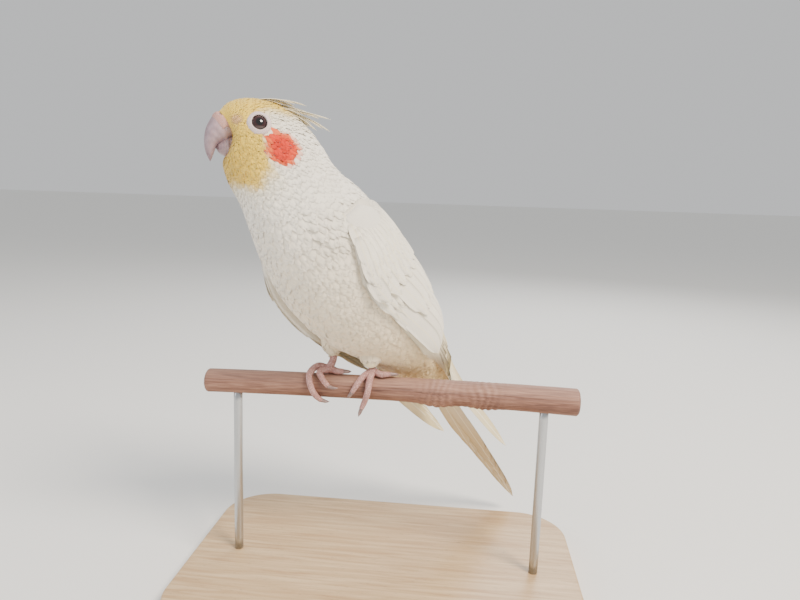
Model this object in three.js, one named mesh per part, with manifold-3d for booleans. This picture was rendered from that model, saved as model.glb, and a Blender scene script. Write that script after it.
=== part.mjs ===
// A lutino cockatiel, life size, gripping a short cut of branch that a plain display stand holds up.
// Millimetres, +Z up. The origin is the centre of the base's underside, and +X runs along the branch.
// The bird is modelled in its own frame: +X forward, +Y to its left, +Z up, from a point on the
// branch's axis midway between the feet.
import * as THREE from "three";
import { mergeVertices } from "three/addons/utils/BufferGeometryUtils.js";
import Module from "manifold-3d";

const wasm = await Module();
wasm.setup();

const degree = Math.PI / 180;

// The gap that pieces keep where they meet, and the edge and height under which a cut's slivers go.
const gap = 0.3;
const shortEdge = 0.03;
const thinFace = 0.004;

const base = { length: 196, width: 128, thickness: 9, corner: 26, bevel: 1.2 };
const rod = { radius: 2.2, apart: 152, socket: 4, sides: 20 };
const branch = { length: 184, radius: 5.9, height: 100, sides: 18, rings: 30, bow: 1.2, thicker: 0.7 };

// Swellings of the branch: place along it, how far they stand out, how long they are, and which way
// they face, where 0 is up and 90 is towards the bird's front side.
const knots = [
  { along: 24, out: 1.5, reach: 8, facing: 150 },
  { along: 47, out: 0.9, reach: 7, facing: 165 },
];

const bird = { along: -20, turn: 43.4, headTurn: -18, neckAxis: 28, roll: 12 };

// The body's roll lifts its left side, from the shoulders down to the tail.
// The outline from the tail's core to the face: the back and the belly, each forward and up, and half
// the width between them.
const outline = [
  { name: "tail core", back: [-89.3, -40.3], belly: [-86.9, -43.2], half: 7.7 },
  { name: "tail root", back: [-75.8, -16.3], belly: [-68.2, -25.9], half: 10.6 },
  { name: "vent", back: [-63.4, 5.8], belly: [-49.9, -13.4], half: 14.4 },
  { name: "rump", back: [-51.8, 25.9], belly: [-32, -1.5], half: 19.7 },
  { name: "flank", back: [-40.3, 44.2], belly: [-11, 10.5], half: 25 },
  { name: "belly", back: [-29.5, 61.9], belly: [12, 23], half: 27.8 },
  { name: "middle", back: [-17, 78.2], belly: [30.7, 40.3], half: 28.3 },
  { name: "breast", back: [-5, 91.1], belly: [42.7, 59.5], half: 26.4 },
  { name: "shoulders", back: [5, 100.1], belly: [49.9, 75.8], half: 22.6 },
  { name: "neck", back: [13, 106.8], belly: [54.7, 87.8], half: 18.2 },
  { name: "nape", back: [18.5, 114.5], belly: [58.4, 95.3], half: 16.3 },
  { name: "cheeks", back: [26.9, 124.1], belly: [60.5, 101.1], half: 15.6 },
  { name: "crown", back: [39.6, 131.4], belly: [61.1, 105.4], half: 14.4 },
  { name: "brow", back: [50.9, 132.6], belly: [59.5, 108.7], half: 12.3 },
  { name: "face", back: [58.6, 130.2], belly: [57.6, 112.5], half: 9.4 },
  { name: "bill root", back: [62.7, 126.3], belly: [57.1, 116.2], half: 6.2 },
];

const v2 = (pair) => new THREE.Vector3(pair[0], 0, pair[1]);
const backLine = new THREE.CatmullRomCurve3(outline.map((s) => v2(s.back)));
const bellyLine = new THREE.CatmullRomCurve3(outline.map((s) => v2(s.belly)));
const halfLine = new THREE.CatmullRomCurve3(outline.map((s, i) => new THREE.Vector3(s.half, i, 0)));
const lastStation = outline.length - 1;
const station = (name) => outline.findIndex((s) => s.name === name);

const smooth = (low, high, x) => THREE.MathUtils.smoothstep(x, low, high);

// The point at a station number and an angle round the body, where 0 is the back and 90 the left side.
function hullPoint(at, angle) {
  const t = THREE.MathUtils.clamp(at / lastStation, 0, 1);
  const back = backLine.getPoint(t);
  const belly = bellyLine.getPoint(t);
  const half = halfLine.getPoint(t).x;
  const centre = back.clone().add(belly).multiplyScalar(0.5);
  const up = back.clone().sub(centre);
  const rolled = (angle - bird.roll * (1 - smooth(station("rump"), station("shoulders"), at))) * degree;
  const point = centre.addScaledVector(up, Math.cos(rolled));
  point.y = half * Math.sin(rolled);
  const turned = bird.headTurn * smooth(station("shoulders"), station("cheeks"), at) * degree;
  point.x -= bird.neckAxis;
  point.applyAxisAngle(new THREE.Vector3(0, 0, 1), turned);
  point.x += bird.neckAxis;
  return point;
}

function hullNormal(at, angle) {
  const step = 0.02;
  const along = hullPoint(at + step, angle).sub(hullPoint(at - step, angle));
  const round = hullPoint(at, angle + 1).sub(hullPoint(at, angle - 1));
  return along.cross(round).normalize();
}

const raised = (at, angle, lift) => hullPoint(at, angle).addScaledVector(hullNormal(at, angle), lift);

// Joins rings of points into one closed surface. A ring of one point makes a tip.
function loft(rings) {
  const points = rings.flat();
  const starts = [];
  let total = 0;
  for (const ring of rings) {
    starts.push(total);
    total += ring.length;
  }
  const faces = [];
  for (let i = 0; i + 1 < rings.length; i++) {
    const [a, b] = [starts[i], starts[i + 1]];
    const [m, n] = [rings[i].length, rings[i + 1].length];
    for (let k = 0; k < Math.max(m, n); k++) {
      const next = (k + 1) % Math.max(m, n);
      if (n === 1) faces.push([a + k, a + next, b]);
      else if (m === 1) faces.push([a, b + next, b + k]);
      else faces.push([a + k, a + next, b + next], [a + k, b + next, b + k]);
    }
  }
  const cap = (ring, start, flip) => {
    if (ring.length < 3) return;
    const middle = new THREE.Vector3();
    ring.forEach((p) => middle.addScaledVector(p, 1 / ring.length));
    const hub = points.push(middle) - 1;
    ring.forEach((_, k) => {
      const next = start + ((k + 1) % ring.length);
      faces.push(flip ? [hub, start + k, next] : [hub, next, start + k]);
    });
  };
  cap(rings[0], starts[0], false);
  cap(rings.at(-1), starts.at(-1), true);
  return solidFrom(points, faces);
}

// A thin vane. Each ring holds a place, half a width vector and half a thickness vector, and both
// faces are split alike.
function blade(rings) {
  const points = rings.flatMap(({ place, side, up }) => [
    place.clone().sub(side).sub(up),
    place.clone().add(side).sub(up),
    place.clone().add(side).add(up),
    place.clone().sub(side).add(up),
  ]);
  const faces = [
    [0, 1, 2],
    [0, 2, 3],
  ];
  const end = points.length - 4;
  faces.push([end, end + 2, end + 1], [end, end + 3, end + 2]);
  for (let i = 0; i + 1 < rings.length; i++) {
    const [a, b] = [4 * i, 4 * i + 4];
    faces.push([a, b + 1, a + 1], [a, b, b + 1]);
    faces.push([a + 3, a + 2, b + 2], [a + 3, b + 2, b + 3]);
    faces.push([a + 1, b + 1, b + 2], [a + 1, b + 2, a + 2]);
    faces.push([a, a + 3, b + 3], [a, b + 3, b]);
  }
  return solidFrom(points, faces);
}

// A round tube through points, with a radius at each.
function tube(points, radii, { sides = 8, steps = 10 } = {}) {
  const path = new THREE.CatmullRomCurve3(points);
  const { normals, binormals } = path.computeFrenetFrames(steps);
  const radiusLine = new THREE.CatmullRomCurve3(radii.map((r, i) => new THREE.Vector3(r, i, 0)));
  return loft(
    range(steps + 1, (i) => {
      const centre = path.getPointAt(i / steps);
      const radius = radiusLine.getPoint(path.getUtoTmapping(i / steps)).x;
      return range(sides, (k) => {
        const angle = (2 * Math.PI * k) / sides;
        return centre
          .clone()
          .addScaledVector(normals[i], radius * Math.cos(angle))
          .addScaledVector(binormals[i], radius * Math.sin(angle));
      });
    }),
  );
}

// A solid from points and triangles, turned so that its faces point out.
function solidFrom(points, faces) {
  let volume = 0;
  for (const [a, b, c] of faces) volume += points[a].dot(points[b].clone().cross(points[c]));
  if (volume < 0) faces.forEach((f) => f.reverse());
  const mesh = new wasm.Mesh({
    numProp: 3,
    vertProperties: new Float32Array(points.flatMap((p) => p.toArray())),
    triVerts: new Uint32Array(faces.flat()),
  });
  return new wasm.Manifold(mesh);
}

// A three.js geometry, moved by a matrix, as a solid.
function solidOf(geometry, matrix = new THREE.Matrix4()) {
  const plain = geometry.clone().applyMatrix4(matrix);
  plain.deleteAttribute("normal");
  plain.deleteAttribute("uv");
  const merged = mergeVertices(plain, 1e-4);
  const at = merged.getAttribute("position");
  const points = Array.from({ length: at.count }, (_, i) => new THREE.Vector3().fromBufferAttribute(at, i));
  const index = Array.from(merged.index.array);
  const faces = [];
  for (let i = 0; i < index.length; i += 3) {
    const face = index.slice(i, i + 3);
    if (new Set(face).size === 3) faces.push(face);
  }
  return solidFrom(points, faces);
}

const fuse = (solids) => solids.reduce((whole, next) => whole.add(next));

// The largest closed surface of a solid, so that a scrap or a sealed hollow doesn't stay with it.
function largest(solid) {
  return solid.decompose().reduce((best, part) => (part.volume() > best.volume() ? part : best));
}

// A solid's triangles, once the edges and slivers that a cut left too small are cleared.
function geometryOf(solid) {
  const mesh = largest(solid).getMesh();
  const places = range(mesh.numVert, (v) => new THREE.Vector3().fromArray(mesh.vertProperties, 3 * v));
  const faces = range(mesh.numTri, (t) => Array.from(mesh.triVerts.slice(3 * t, 3 * t + 3)));
  const clean = flipSlivers(places, drawTogether(places, faces));
  const geometry = new THREE.BufferGeometry().setFromPoints(places);
  return geometry.setIndex(clean.flat());
}

// Draws the two ends of each short edge together, where that keeps the surface whole.
function drawTogether(places, faces) {
  const near = places.map(() => new Set());
  for (const face of faces) face.forEach((v, i) => near[v].add(face[(i + 1) % 3]).add(face[(i + 2) % 3]));
  const keptAs = places.map((_, v) => v);
  const kept = (v) => (keptAs[v] === v ? v : kept(keptAs[v]));
  for (const face of faces) {
    for (let i = 0; i < 3; i++) {
      const [u, v] = [kept(face[i]), kept(face[(i + 1) % 3])];
      if (u === v || places[u].distanceTo(places[v]) > shortEdge) continue;
      const shared = [...near[u]].filter((w) => near[v].has(w));
      if (shared.length !== 2) continue;
      for (const w of near[v]) {
        near[w].delete(v);
        if (w !== u) near[w].add(u);
        if (w !== u) near[u].add(w);
      }
      keptAs[v] = u;
    }
  }
  return faces.map((face) => face.map(kept)).filter((face) => new Set(face).size === 3);
}

// Turns the longest edge of each sliver the other way, so that no face is too thin.
function flipSlivers(places, faces) {
  const owner = new Map();
  const key = (a, b) => `${a} ${b}`;
  faces.forEach((face, t) => face.forEach((v, i) => owner.set(key(v, face[(i + 1) % 3]), t)));
  const height = ([a, b, c]) => {
    const base = places[b].clone().sub(places[a]);
    return base.clone().cross(places[c].clone().sub(places[a])).length() / base.length();
  };
  for (let pass = 0; pass < 4; pass++) {
    faces.forEach((face, t) => {
      const longest = [0, 1, 2].map((i) => [face[i], face[(i + 1) % 3], face[(i + 2) % 3]]);
      longest.sort((p, q) => places[q[0]].distanceTo(places[q[1]]) - places[p[0]].distanceTo(places[p[1]]));
      const [a, b, c] = longest[0];
      if (height([a, b, c]) > thinFace) return;
      const other = owner.get(key(b, a));
      const d = faces[other].find((v) => v !== a && v !== b);
      if (owner.has(key(c, d)) || owner.has(key(d, c))) return;
      owner.delete(key(a, b));
      owner.delete(key(b, a));
      faces[t] = [a, d, c];
      faces[other] = [d, b, c];
      for (const index of [t, other]) {
        faces[index].forEach((v, i) => owner.set(key(v, faces[index][(i + 1) % 3]), index));
      }
    });
  }
  return faces;
}

const range = (count, make) => Array.from({ length: count }, (_, i) => make(i));
const mix = (a, b, t) => a + (b - a) * t;

const finishes = {
  plumage: { color: 0xece2c6, roughness: 0.85 },
  face: { color: 0xe8d27a, roughness: 0.85 },
  bill: { color: 0xb39a97, roughness: 0.45 },
  eye: { color: 0x2a0f12, roughness: 0.08 },
  skin: { color: 0xc9958d, roughness: 0.6 },
  bark: { color: 0x8a5a42, roughness: 0.8 },
  base: { color: 0xcab594, roughness: 0.55 },
  steel: { color: 0xb9bbbd, roughness: 0.3, metalness: 1 },
};
const materials = Object.fromEntries(
  Object.entries(finishes).map(([name, look]) => [name, new THREE.MeshStandardMaterial(look)]),
);

function named(name, solid, finish) {
  const mesh = new THREE.Mesh(geometryOf(solid), materials[finish]);
  mesh.name = name;
  return mesh;
}

// A stretch of the feathered body between two station numbers.
function bodyStretch(from, to, { rings = 8, sides = 28, grow = 0 } = {}) {
  return loft(
    range(rings + 1, (i) =>
      range(sides, (k) => raised(mix(from, to, i / rings), (360 * k) / sides, grow)),
    ),
  );
}

// The trunk from the vent to the neck. Grown, it clears room for what lies on it.
function trunk(grow) {
  return bodyStretch(station("vent"), cuts.neck - cuts.share, { rings: 14, grow });
}

// The branch's radius at a place along it and an angle round it.
function branchRadius(along, angle) {
  let radius = branch.radius + branch.thicker * smooth(0, branch.length / 2, along);
  for (const knot of knots) {
    const near = Math.exp(-(((along - knot.along) / knot.reach) ** 2));
    radius += knot.out * near * (0.5 + 0.5 * Math.cos((angle - knot.facing) * degree));
  }
  return radius;
}

const branchDrop = (along) => branch.bow * ((2 * along) / branch.length) ** 2;

// A point off the branch's axis. Angle 0 is up, and 90 is the side that the bird faces across.
function roundBranch(along, angle, distance) {
  const y = -distance * Math.sin(angle * degree);
  const z = branch.height - branchDrop(along) + distance * Math.cos(angle * degree);
  return new THREE.Vector3(along, y, z);
}

function branchSolid(grow = 0) {
  const ends = 1.2;
  const slices = [{ along: -branch.length / 2, less: ends }];
  for (let i = 0; i <= branch.rings; i++) {
    const along = mix(-branch.length / 2 + ends, branch.length / 2 - ends, i / branch.rings);
    slices.push({ along, less: 0 });
  }
  slices.push({ along: branch.length / 2, less: ends });
  return loft(
    slices.map(({ along, less }) =>
      range(branch.sides, (k) => {
        const angle = (360 * k) / branch.sides;
        return roundBranch(along, angle, branchRadius(along, angle) + grow - less);
      }),
    ),
  );
}

function makeBranch() {
  const sockets = [-1, 1].map((side) => rodSolid(side, gap));
  return named("branch", branchSolid().subtract(fuse(sockets)), "bark");
}

const rodTop = (side) => roundBranch((side * rod.apart) / 2, 180, branch.radius - rod.socket).z;

function rodSolid(side, grow) {
  const bottom = base.thickness + gap;
  const height = rodTop(side) - bottom + grow;
  const shape = new THREE.CylinderGeometry(rod.radius + grow, rod.radius + grow, height, rod.sides);
  const matrix = new THREE.Matrix4()
    .makeTranslation((side * rod.apart) / 2, 0, bottom + height / 2)
    .multiply(new THREE.Matrix4().makeRotationX(90 * degree));
  return solidOf(shape, matrix);
}

function makeStand() {
  const [l, w, c] = [base.length / 2 - base.bevel, base.width / 2 - base.bevel, base.corner];
  const plan = new THREE.Shape();
  plan.moveTo(-l + c, -w);
  plan.lineTo(l - c, -w);
  plan.absarc(l - c, -w + c, c, -90 * degree, 0);
  plan.absarc(l - c, w - c, c, 0, 90 * degree);
  plan.absarc(-l + c, w - c, c, 90 * degree, 180 * degree);
  plan.absarc(-l + c, -w + c, c, 180 * degree, 270 * degree);
  const plate = new THREE.ExtrudeGeometry(plan, {
    depth: base.thickness - 2 * base.bevel,
    bevelSize: base.bevel,
    bevelThickness: base.bevel,
    bevelSegments: 1,
    curveSegments: 6,
  }).translate(0, 0, base.bevel);
  return [
    named("stand_base", solidOf(plate), "base"),
    named("stand_rod_left", rodSolid(-1, 0), "steel"),
    named("stand_rod_right", rodSolid(1, 0), "steel"),
  ];
}

// Sections of the two halves of the bill, from the root to the tip: the upper and lower edge, each
// forward and up, and half the width.
const upperBill = [
  { top: [59, 125.3], under: [51.8, 116.6], half: 5.6 },
  { top: [63.6, 125.4], under: [56.4, 115.8], half: 6 },
  { top: [66.1, 122.3], under: [58.8, 114.2], half: 6 },
  { top: [67.7, 118.9], under: [61.1, 113.2], half: 5.4 },
  { top: [68.4, 115.5], under: [63.1, 112.1], half: 4.4 },
  { top: [68.4, 111.7], under: [64.2, 109.8], half: 3.2 },
  { top: [67.7, 108.5], under: [65.1, 107.3], half: 1.8 },
];
const upperBillTip = [66.2, 105.3];
const lowerBill = [
  { top: [52.8, 117.5], under: [54.7, 106.6], half: 5 },
  { top: [58.1, 116.6], under: [58.4, 107.1], half: 5.1 },
  { top: [61.1, 114.8], under: [60.7, 108], half: 4.4 },
  { top: [63, 112.8], under: [62.6, 109.2], half: 3 },
];
const lowerBillTip = [63.6, 110.8];

// A horn shape between an upper and a lower edge, in the frame of the turned head.
function horn(sections, tip, grow = 0, sides = 14) {
  const rings = sections.map(({ top, under, half }) => {
    const high = v2(top);
    const low = v2(under);
    const centre = high.clone().add(low).multiplyScalar(0.5);
    const up = high.clone().sub(centre);
    up.setLength(up.length() + grow);
    return range(sides, (k) => {
      const angle = (360 * k * degree) / sides;
      const point = centre.clone().addScaledVector(up, Math.cos(angle));
      point.y += (half + grow) * Math.sin(angle);
      return turnWithHead(point);
    });
  });
  return loft([...rings, [turnWithHead(v2(tip))]]);
}

function turnWithHead(point) {
  const out = point.clone();
  out.x -= bird.neckAxis;
  out.applyAxisAngle(new THREE.Vector3(0, 0, 1), bird.headTurn * degree);
  out.x += bird.neckAxis;
  return out;
}

const animalMatrix = new THREE.Matrix4()
  .makeTranslation(bird.along, 0, branch.height)
  .multiply(new THREE.Matrix4().makeRotationZ((180 + bird.turn) * degree));

// The branch as the bird's own frame sees it, with the gap round it.
const branchInAnimal = branchSolid(gap).transform(animalMatrix.clone().invert().toArray());

// The eye's place on the head's outline, and how far the opening lies under the feathers.
const eye = { at: 11.95, angle: 76, sunk: 0.5, radius: 4.2, opening: 3.15, rim: 0.7 };

function eyeMatrix(side, depth) {
  const place = raised(eye.at, side * eye.angle, -eye.sunk - depth);
  const facing = hullNormal(eye.at, side * eye.angle);
  const turn = new THREE.Quaternion().setFromUnitVectors(new THREE.Vector3(0, 0, 1), facing);
  return new THREE.Matrix4().compose(place, turn, new THREE.Vector3(1, 1, 1));
}

function eyeball(side, grow = 0) {
  const depth = Math.sqrt(eye.radius ** 2 - eye.opening ** 2);
  return solidOf(new THREE.IcosahedronGeometry(eye.radius + grow, 3), eyeMatrix(side, depth));
}

function eyelid(side) {
  const ring = new THREE.TorusGeometry(eye.opening + eye.rim, eye.rim, 6, 20);
  return solidOf(ring, eyeMatrix(side, 0));
}

// The cere is a fleshy band over the bill's root, with a nostril on each side of its ridge. Each
// section has its swell, and the band's lower edge lies at a share of the bill's height.
const cere = { swells: [0.7, 0.7, -0.3], lowEdge: 0.3 };
const nostril = { place: [60.9, 124], out: 4.1, radius: 1, length: 1.5 };

function cereSolid() {
  const band = cere.swells.map((swell, i) => {
    const { top, under, half } = upperBill[i];
    const [high, low] = [v2(top), v2(under).lerp(v2(top), cere.lowEdge)];
    high.add(high.clone().sub(low).setLength(swell));
    return { top: [high.x, high.z], under: [low.x, low.z], half: half + swell };
  });
  const last = band.at(-1);
  const end = [0, 1].map((i) => mix(last.top[i], last.under[i], 0.5));
  const pits = [-1, 1].map((side) => {
    const [ahead, up] = nostril.place;
    const at = turnWithHead(new THREE.Vector3(ahead, side * nostril.out, up));
    const matrix = new THREE.Matrix4().makeScale(nostril.length, 1, 1).setPosition(at);
    return solidOf(new THREE.IcosahedronGeometry(nostril.radius, 1), matrix);
  });
  return horn(band, end, 0, 16).subtract(fuse(pits));
}

const cuts = { neck: 8.7, head: 10.3, share: 0.012 };

function makeHead() {
  const from = cuts.head + cuts.share;
  const skull = bodyStretch(from, lastStation, { rings: 14 });
  const sides = [-1, 1];
  const whole = fuse([skull, ...sides.map(eyelid), ...crest.feathers.map(crestFeather)]);
  const sockets = sides.map((side) => eyeball(side, gap));
  const grown = bodyStretch(cuts.head, lastStation, { rings: 14, grow: gap });
  const upper = horn(upperBill, upperBillTip).add(cereSolid()).subtract(grown);
  const lower = horn(lowerBill, lowerBillTip).subtract(grown);
  const clearLower = lower.subtract(horn(upperBill, upperBillTip, gap));
  return [
    named("head", whole.subtract(fuse(sockets)), "face"),
    named("bill_upper", upper, "bill"),
    named("bill_lower", clearLower, "bill"),
    ...sides.map((side) => named(side > 0 ? "eye_left" : "eye_right", eyeball(side), "eye")),
  ];
}

// A seeded draw, so that each build is the same.
function draws(seed) {
  let state = seed;
  return (low, high) => {
    state = (state * 1664525 + 1013904223) % 4294967296;
    return mix(low, high, state / 4294967296);
  };
}

const vaneThickness = 0.5;

// Half widths along a vane, as shares of its widest, at places from the root to the tip.
const vaneShapes = {
  covert: { places: [0, 0.5, 0.84, 1], widths: [0.75, 1, 0.8, 0.28] },
  flight: { places: [0, 0.2, 0.42, 0.64, 0.83, 0.95, 1], widths: [0.6, 0.85, 0.97, 1, 0.85, 0.5, 0.14] },
};

// A vane over a sheet, which gives a point from a place along, a place across and a lift. It runs
// from root to tip, each along, across and lift, and rolls so that the next vane tucks under it.
function vaneOver(sheet, { root, tip, width, roll = 0, shape = "covert" }) {
  const { places, widths } = vaneShapes[shape];
  return blade(
    places.map((t, i) => {
      const [along, across, lift] = root.map((value, j) => mix(value, tip[j], t));
      const place = sheet(along, across, lift);
      const above = sheet(along, across, lift + 1).sub(place).normalize();
      const ahead = sheet(along + 0.01, across, lift).sub(place).normalize();
      const side = above.clone().cross(ahead).normalize();
      const half = (width / 2) * widths[i];
      const tilt = side.multiplyScalar(Math.cos(roll)).addScaledVector(above, Math.sin(roll));
      return { place, side: tilt.multiplyScalar(half), up: above.multiplyScalar(vaneThickness / 2) };
    }),
  );
}

// The folded wing lies on the body from its bend at the shoulder, leaves it at the rump and runs
// straight to the tip. Stations and angles are those of the outline.
const wing = {
  front: 7.6,
  leave: 2.9,
  leaveShare: 0.58,
  blend: 0.135,
  core: 0.35,
  coreThickness: 3.2,
  tips: { left: [-96, 20, -45], right: [-89, -26, -50] },
  tipWidth: 9,
  loose: { left: 0.6, right: 6.8 },
  droop: { left: 0, right: 28 },
  sunk: 1.1,
};

function wingStation(s) {
  return mix(wing.front, wing.leave, s / wing.leaveShare);
}

// The wing's lower and upper edges as angles round the body.
function wingAngle(at, across, droop) {
  const low = mix(108 + droop, 84 + droop, smooth(5.6, wing.front, at));
  const high = mix(mix(12, 56, smooth(6.4, wing.front, at)), 40, 1 - smooth(2.6, 4, at));
  return mix(low, high, across);
}

function wingSheet(side) {
  const sign = side === "left" ? 1 : -1;
  const tip = new THREE.Vector3(...wing.tips[side]);
  const onBody = (s, across, lift) => {
    const at = Math.max(wingStation(s), 1.2);
    const off = wing.loose[side] * (1 - across) ** 2 * (1 - 0.8 * smooth(6.6, wing.front, at));
    return raised(at, sign * wingAngle(at, across, wing.droop[side]), lift + off);
  };
  const leave = (across) => onBody(wing.leaveShare, across, 0);
  const flat = leave(1).sub(leave(0));
  const ahead = tip.clone().sub(leave(0));
  const out = flat.clone().cross(ahead).normalize().multiplyScalar(sign);
  const inward = ahead.clone().cross(out).normalize().multiplyScalar(sign);
  return (s, across, lift) => {
    const share = (s - wing.leaveShare) / (1 - wing.leaveShare);
    const end = tip.clone().addScaledVector(inward, wing.tipWidth * across);
    const straight = leave(across).lerp(end, share).addScaledVector(out, lift);
    const blend = smooth(wing.leaveShare - wing.blend, wing.leaveShare + wing.blend, s);
    return onBody(s, across, lift).lerp(straight, blend);
  };
}

// The arm under the coverts, from the front of the wing to the roots of the flight feathers.
function wingCore(sheet) {
  const rings = 8;
  const across = 6;
  return loft(
    range(rings + 1, (i) => {
      const s = (wing.core * i) / rings;
      const full = mix(0.55, 1, smooth(0, 0.12, i / rings)) * mix(1, 0.55, smooth(0.5, 1, i / rings));
      const outer = range(across + 1, (k) => {
        const bulge = Math.sin(Math.PI * mix(0.12, 0.9, k / across));
        return sheet(s, k / across, gap + 0.5 + wing.coreThickness * full * bulge);
      });
      const inner = range(across + 1, (k) => sheet(s, 1 - k / across, -wing.sunk));
      return [...outer, ...inner];
    }),
  );
}

// Rows of coverts: how many, where their roots and tips lie along the wing, the stretch across it
// that they share, their width, and how high their roots and tips lie off the body.
const wingRows = [
  { count: 5, from: 0.2, to: 0.41, low: 0.02, high: 0.98, width: 10.5, lifts: [1.4, 6] },
];
const secondaries = { count: 5, from: 0.3, firstTip: 0.57, lastTip: 0.52, low: 0.14, high: 0.92, width: 10.5 };
const primaries = { count: 5, from: 0.33, firstTip: 1, lastTip: 0.72, low: 0.04, high: 0.46, width: 8 };
const primaryStep = 0.9;
const vaneRoll = 0.2;

function makeWing(side) {
  const sheet = wingSheet(side);
  const draw = draws(side === "left" ? 12 : 23);
  const roll = (side === "left" ? 1 : -1) * vaneRoll;
  const vanes = [];
  for (const row of wingRows) {
    for (let i = 0; i < row.count; i++) {
      const across = mix(row.low, row.high, (i + 0.5) / row.count);
      const end = row.to + draw(-0.008, 0.008);
      const [root, tip] = [[row.from, across, row.lifts[0]], [end, across, row.lifts[1]]];
      vanes.push(vaneOver(sheet, { root, tip, width: row.width, roll }));
    }
  }
  for (let i = 0; i < secondaries.count; i++) {
    const share = i / (secondaries.count - 1);
    const across = mix(secondaries.low, secondaries.high, share);
    const end = mix(secondaries.firstTip, secondaries.lastTip, share) + draw(-0.006, 0.006);
    const [root, tip] = [[secondaries.from, across, 0.9], [end, across, 6.2]];
    vanes.push(vaneOver(sheet, { root, tip, width: secondaries.width, roll, shape: "flight" }));
  }
  for (let i = 0; i < primaries.count; i++) {
    const share = i / (primaries.count - 1);
    const across = mix(primaries.low, primaries.high, share);
    const end = mix(primaries.firstTip, primaries.lastTip, share ** 0.8) + draw(-0.006, 0.006);
    const root = [primaries.from, across, 0.6 + 0.1 * i];
    const tip = [end, across * 0.9, 0.8 + primaryStep * i];
    vanes.push(vaneOver(sheet, { root, tip, width: primaries.width, shape: "flight" }));
  }
  return named(`wing_${side}`, fuse([wingCore(sheet), ...vanes]).subtract(trunk(gap)), "plumage");
}

// The tail's own frame starts at the vent: along the tail, across to the left, and up off its back.
const tail = {
  start: [-57.6, 0, -4.8],
  slope: 52.3,
  yaw: -1.5,
  pairs: 6,
  longest: 106,
  shortest: 56,
  root: 3,
  spread: 7,
  width: 12,
  step: 0.95,
};

const tailMatrix = new THREE.Matrix4()
  .makeTranslation(...tail.start)
  .multiply(new THREE.Matrix4().makeRotationY(-tail.slope * degree))
  .multiply(new THREE.Matrix4().makeRotationZ((180 + tail.yaw) * degree))
  .multiply(new THREE.Matrix4().makeRotationX(bird.roll * degree));

const tailSheet = (along, across, lift) => new THREE.Vector3(along, -across, lift).applyMatrix4(tailMatrix);

function makeTail() {
  const draw = draws(7);
  const vanes = [];
  for (let i = 0; i < tail.pairs; i++) {
    const share = i / (tail.pairs - 1);
    const long = mix(tail.longest, tail.shortest, share ** 0.9);
    for (const side of [-1, 1]) {
      const lift = -tail.step * (i + (side > 0 ? 0.45 : 0));
      const end = long + draw(-1.5, 1.5);
      const spread = side * (0.8 + tail.spread * share);
      const root = [tail.root, side * mix(0.8, 3.4, share), lift];
      const tip = [end, spread, lift];
      vanes.push(vaneOver(tailSheet, { root, tip, width: tail.width, roll: 0, shape: "flight" }));
    }
  }
  const core = bodyStretch(0.95, station("vent") - 0.03, { rings: 4 });
  return named("tail", fuse([core, ...vanes]).subtract(trunk(gap)).subtract(branchInAnimal), "plumage");
}

// The crest's feathers lie back over the crown: root and tip, forward and up in the turned head's
// frame, how far to the left each lies, and how high its middle arches.
const crest = {
  width: 2.3,
  feathers: [
    { root: [52, 131.6], tip: [31, 131.2], out: [1.6, 3], arch: 2.2 },
    { root: [51, 131.6], tip: [33, 131.4], out: [-1.8, -3.2], arch: 2 },
    { root: [48, 131.8], tip: [25.5, 131], out: [0.3, 0.6], arch: 2.4 },
    { root: [44, 131.4], tip: [19.5, 126.4], out: [-1.3, -2.6], arch: 2.6 },
    { root: [42, 131], tip: [14.8, 125.9], out: [1.3, 1.8], arch: 1 },
    { root: [38, 129.8], tip: [14.6, 120.8], out: [-0.2, 0.2], arch: 2.2 },
    { root: [36, 129], tip: [21.5, 120.6], out: [2.3, 3.6], arch: 1.6 },
  ],
};

function crestFeather({ root, tip, out, arch }) {
  const start = new THREE.Vector3(root[0], out[0], root[1] - 1);
  const end = new THREE.Vector3(tip[0], out[1], tip[1]);
  const middle = start.clone().lerp(end, 0.5);
  middle.z += 2 * arch;
  const path = new THREE.QuadraticBezierCurve3(start, middle, end);
  const places = [0, 0.25, 0.5, 0.75, 0.92, 1];
  const widths = [0.8, 1, 1, 0.75, 0.4, 0.15];
  return blade(
    places.map((t, i) => {
      const ahead = path.getTangent(t);
      const side = new THREE.Vector3(0, 1, 0).addScaledVector(ahead, -ahead.y).normalize();
      const up = side.clone().cross(ahead).multiplyScalar(0.32);
      side.multiplyScalar((crest.width / 2) * widths[i]);
      const spin = new THREE.Vector3(0, 0, 1);
      const turn = (v) => v.applyAxisAngle(spin, bird.headTurn * degree);
      return { place: turnWithHead(path.getPoint(t)), side: turn(side), up: turn(up) };
    }),
  );
}

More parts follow.
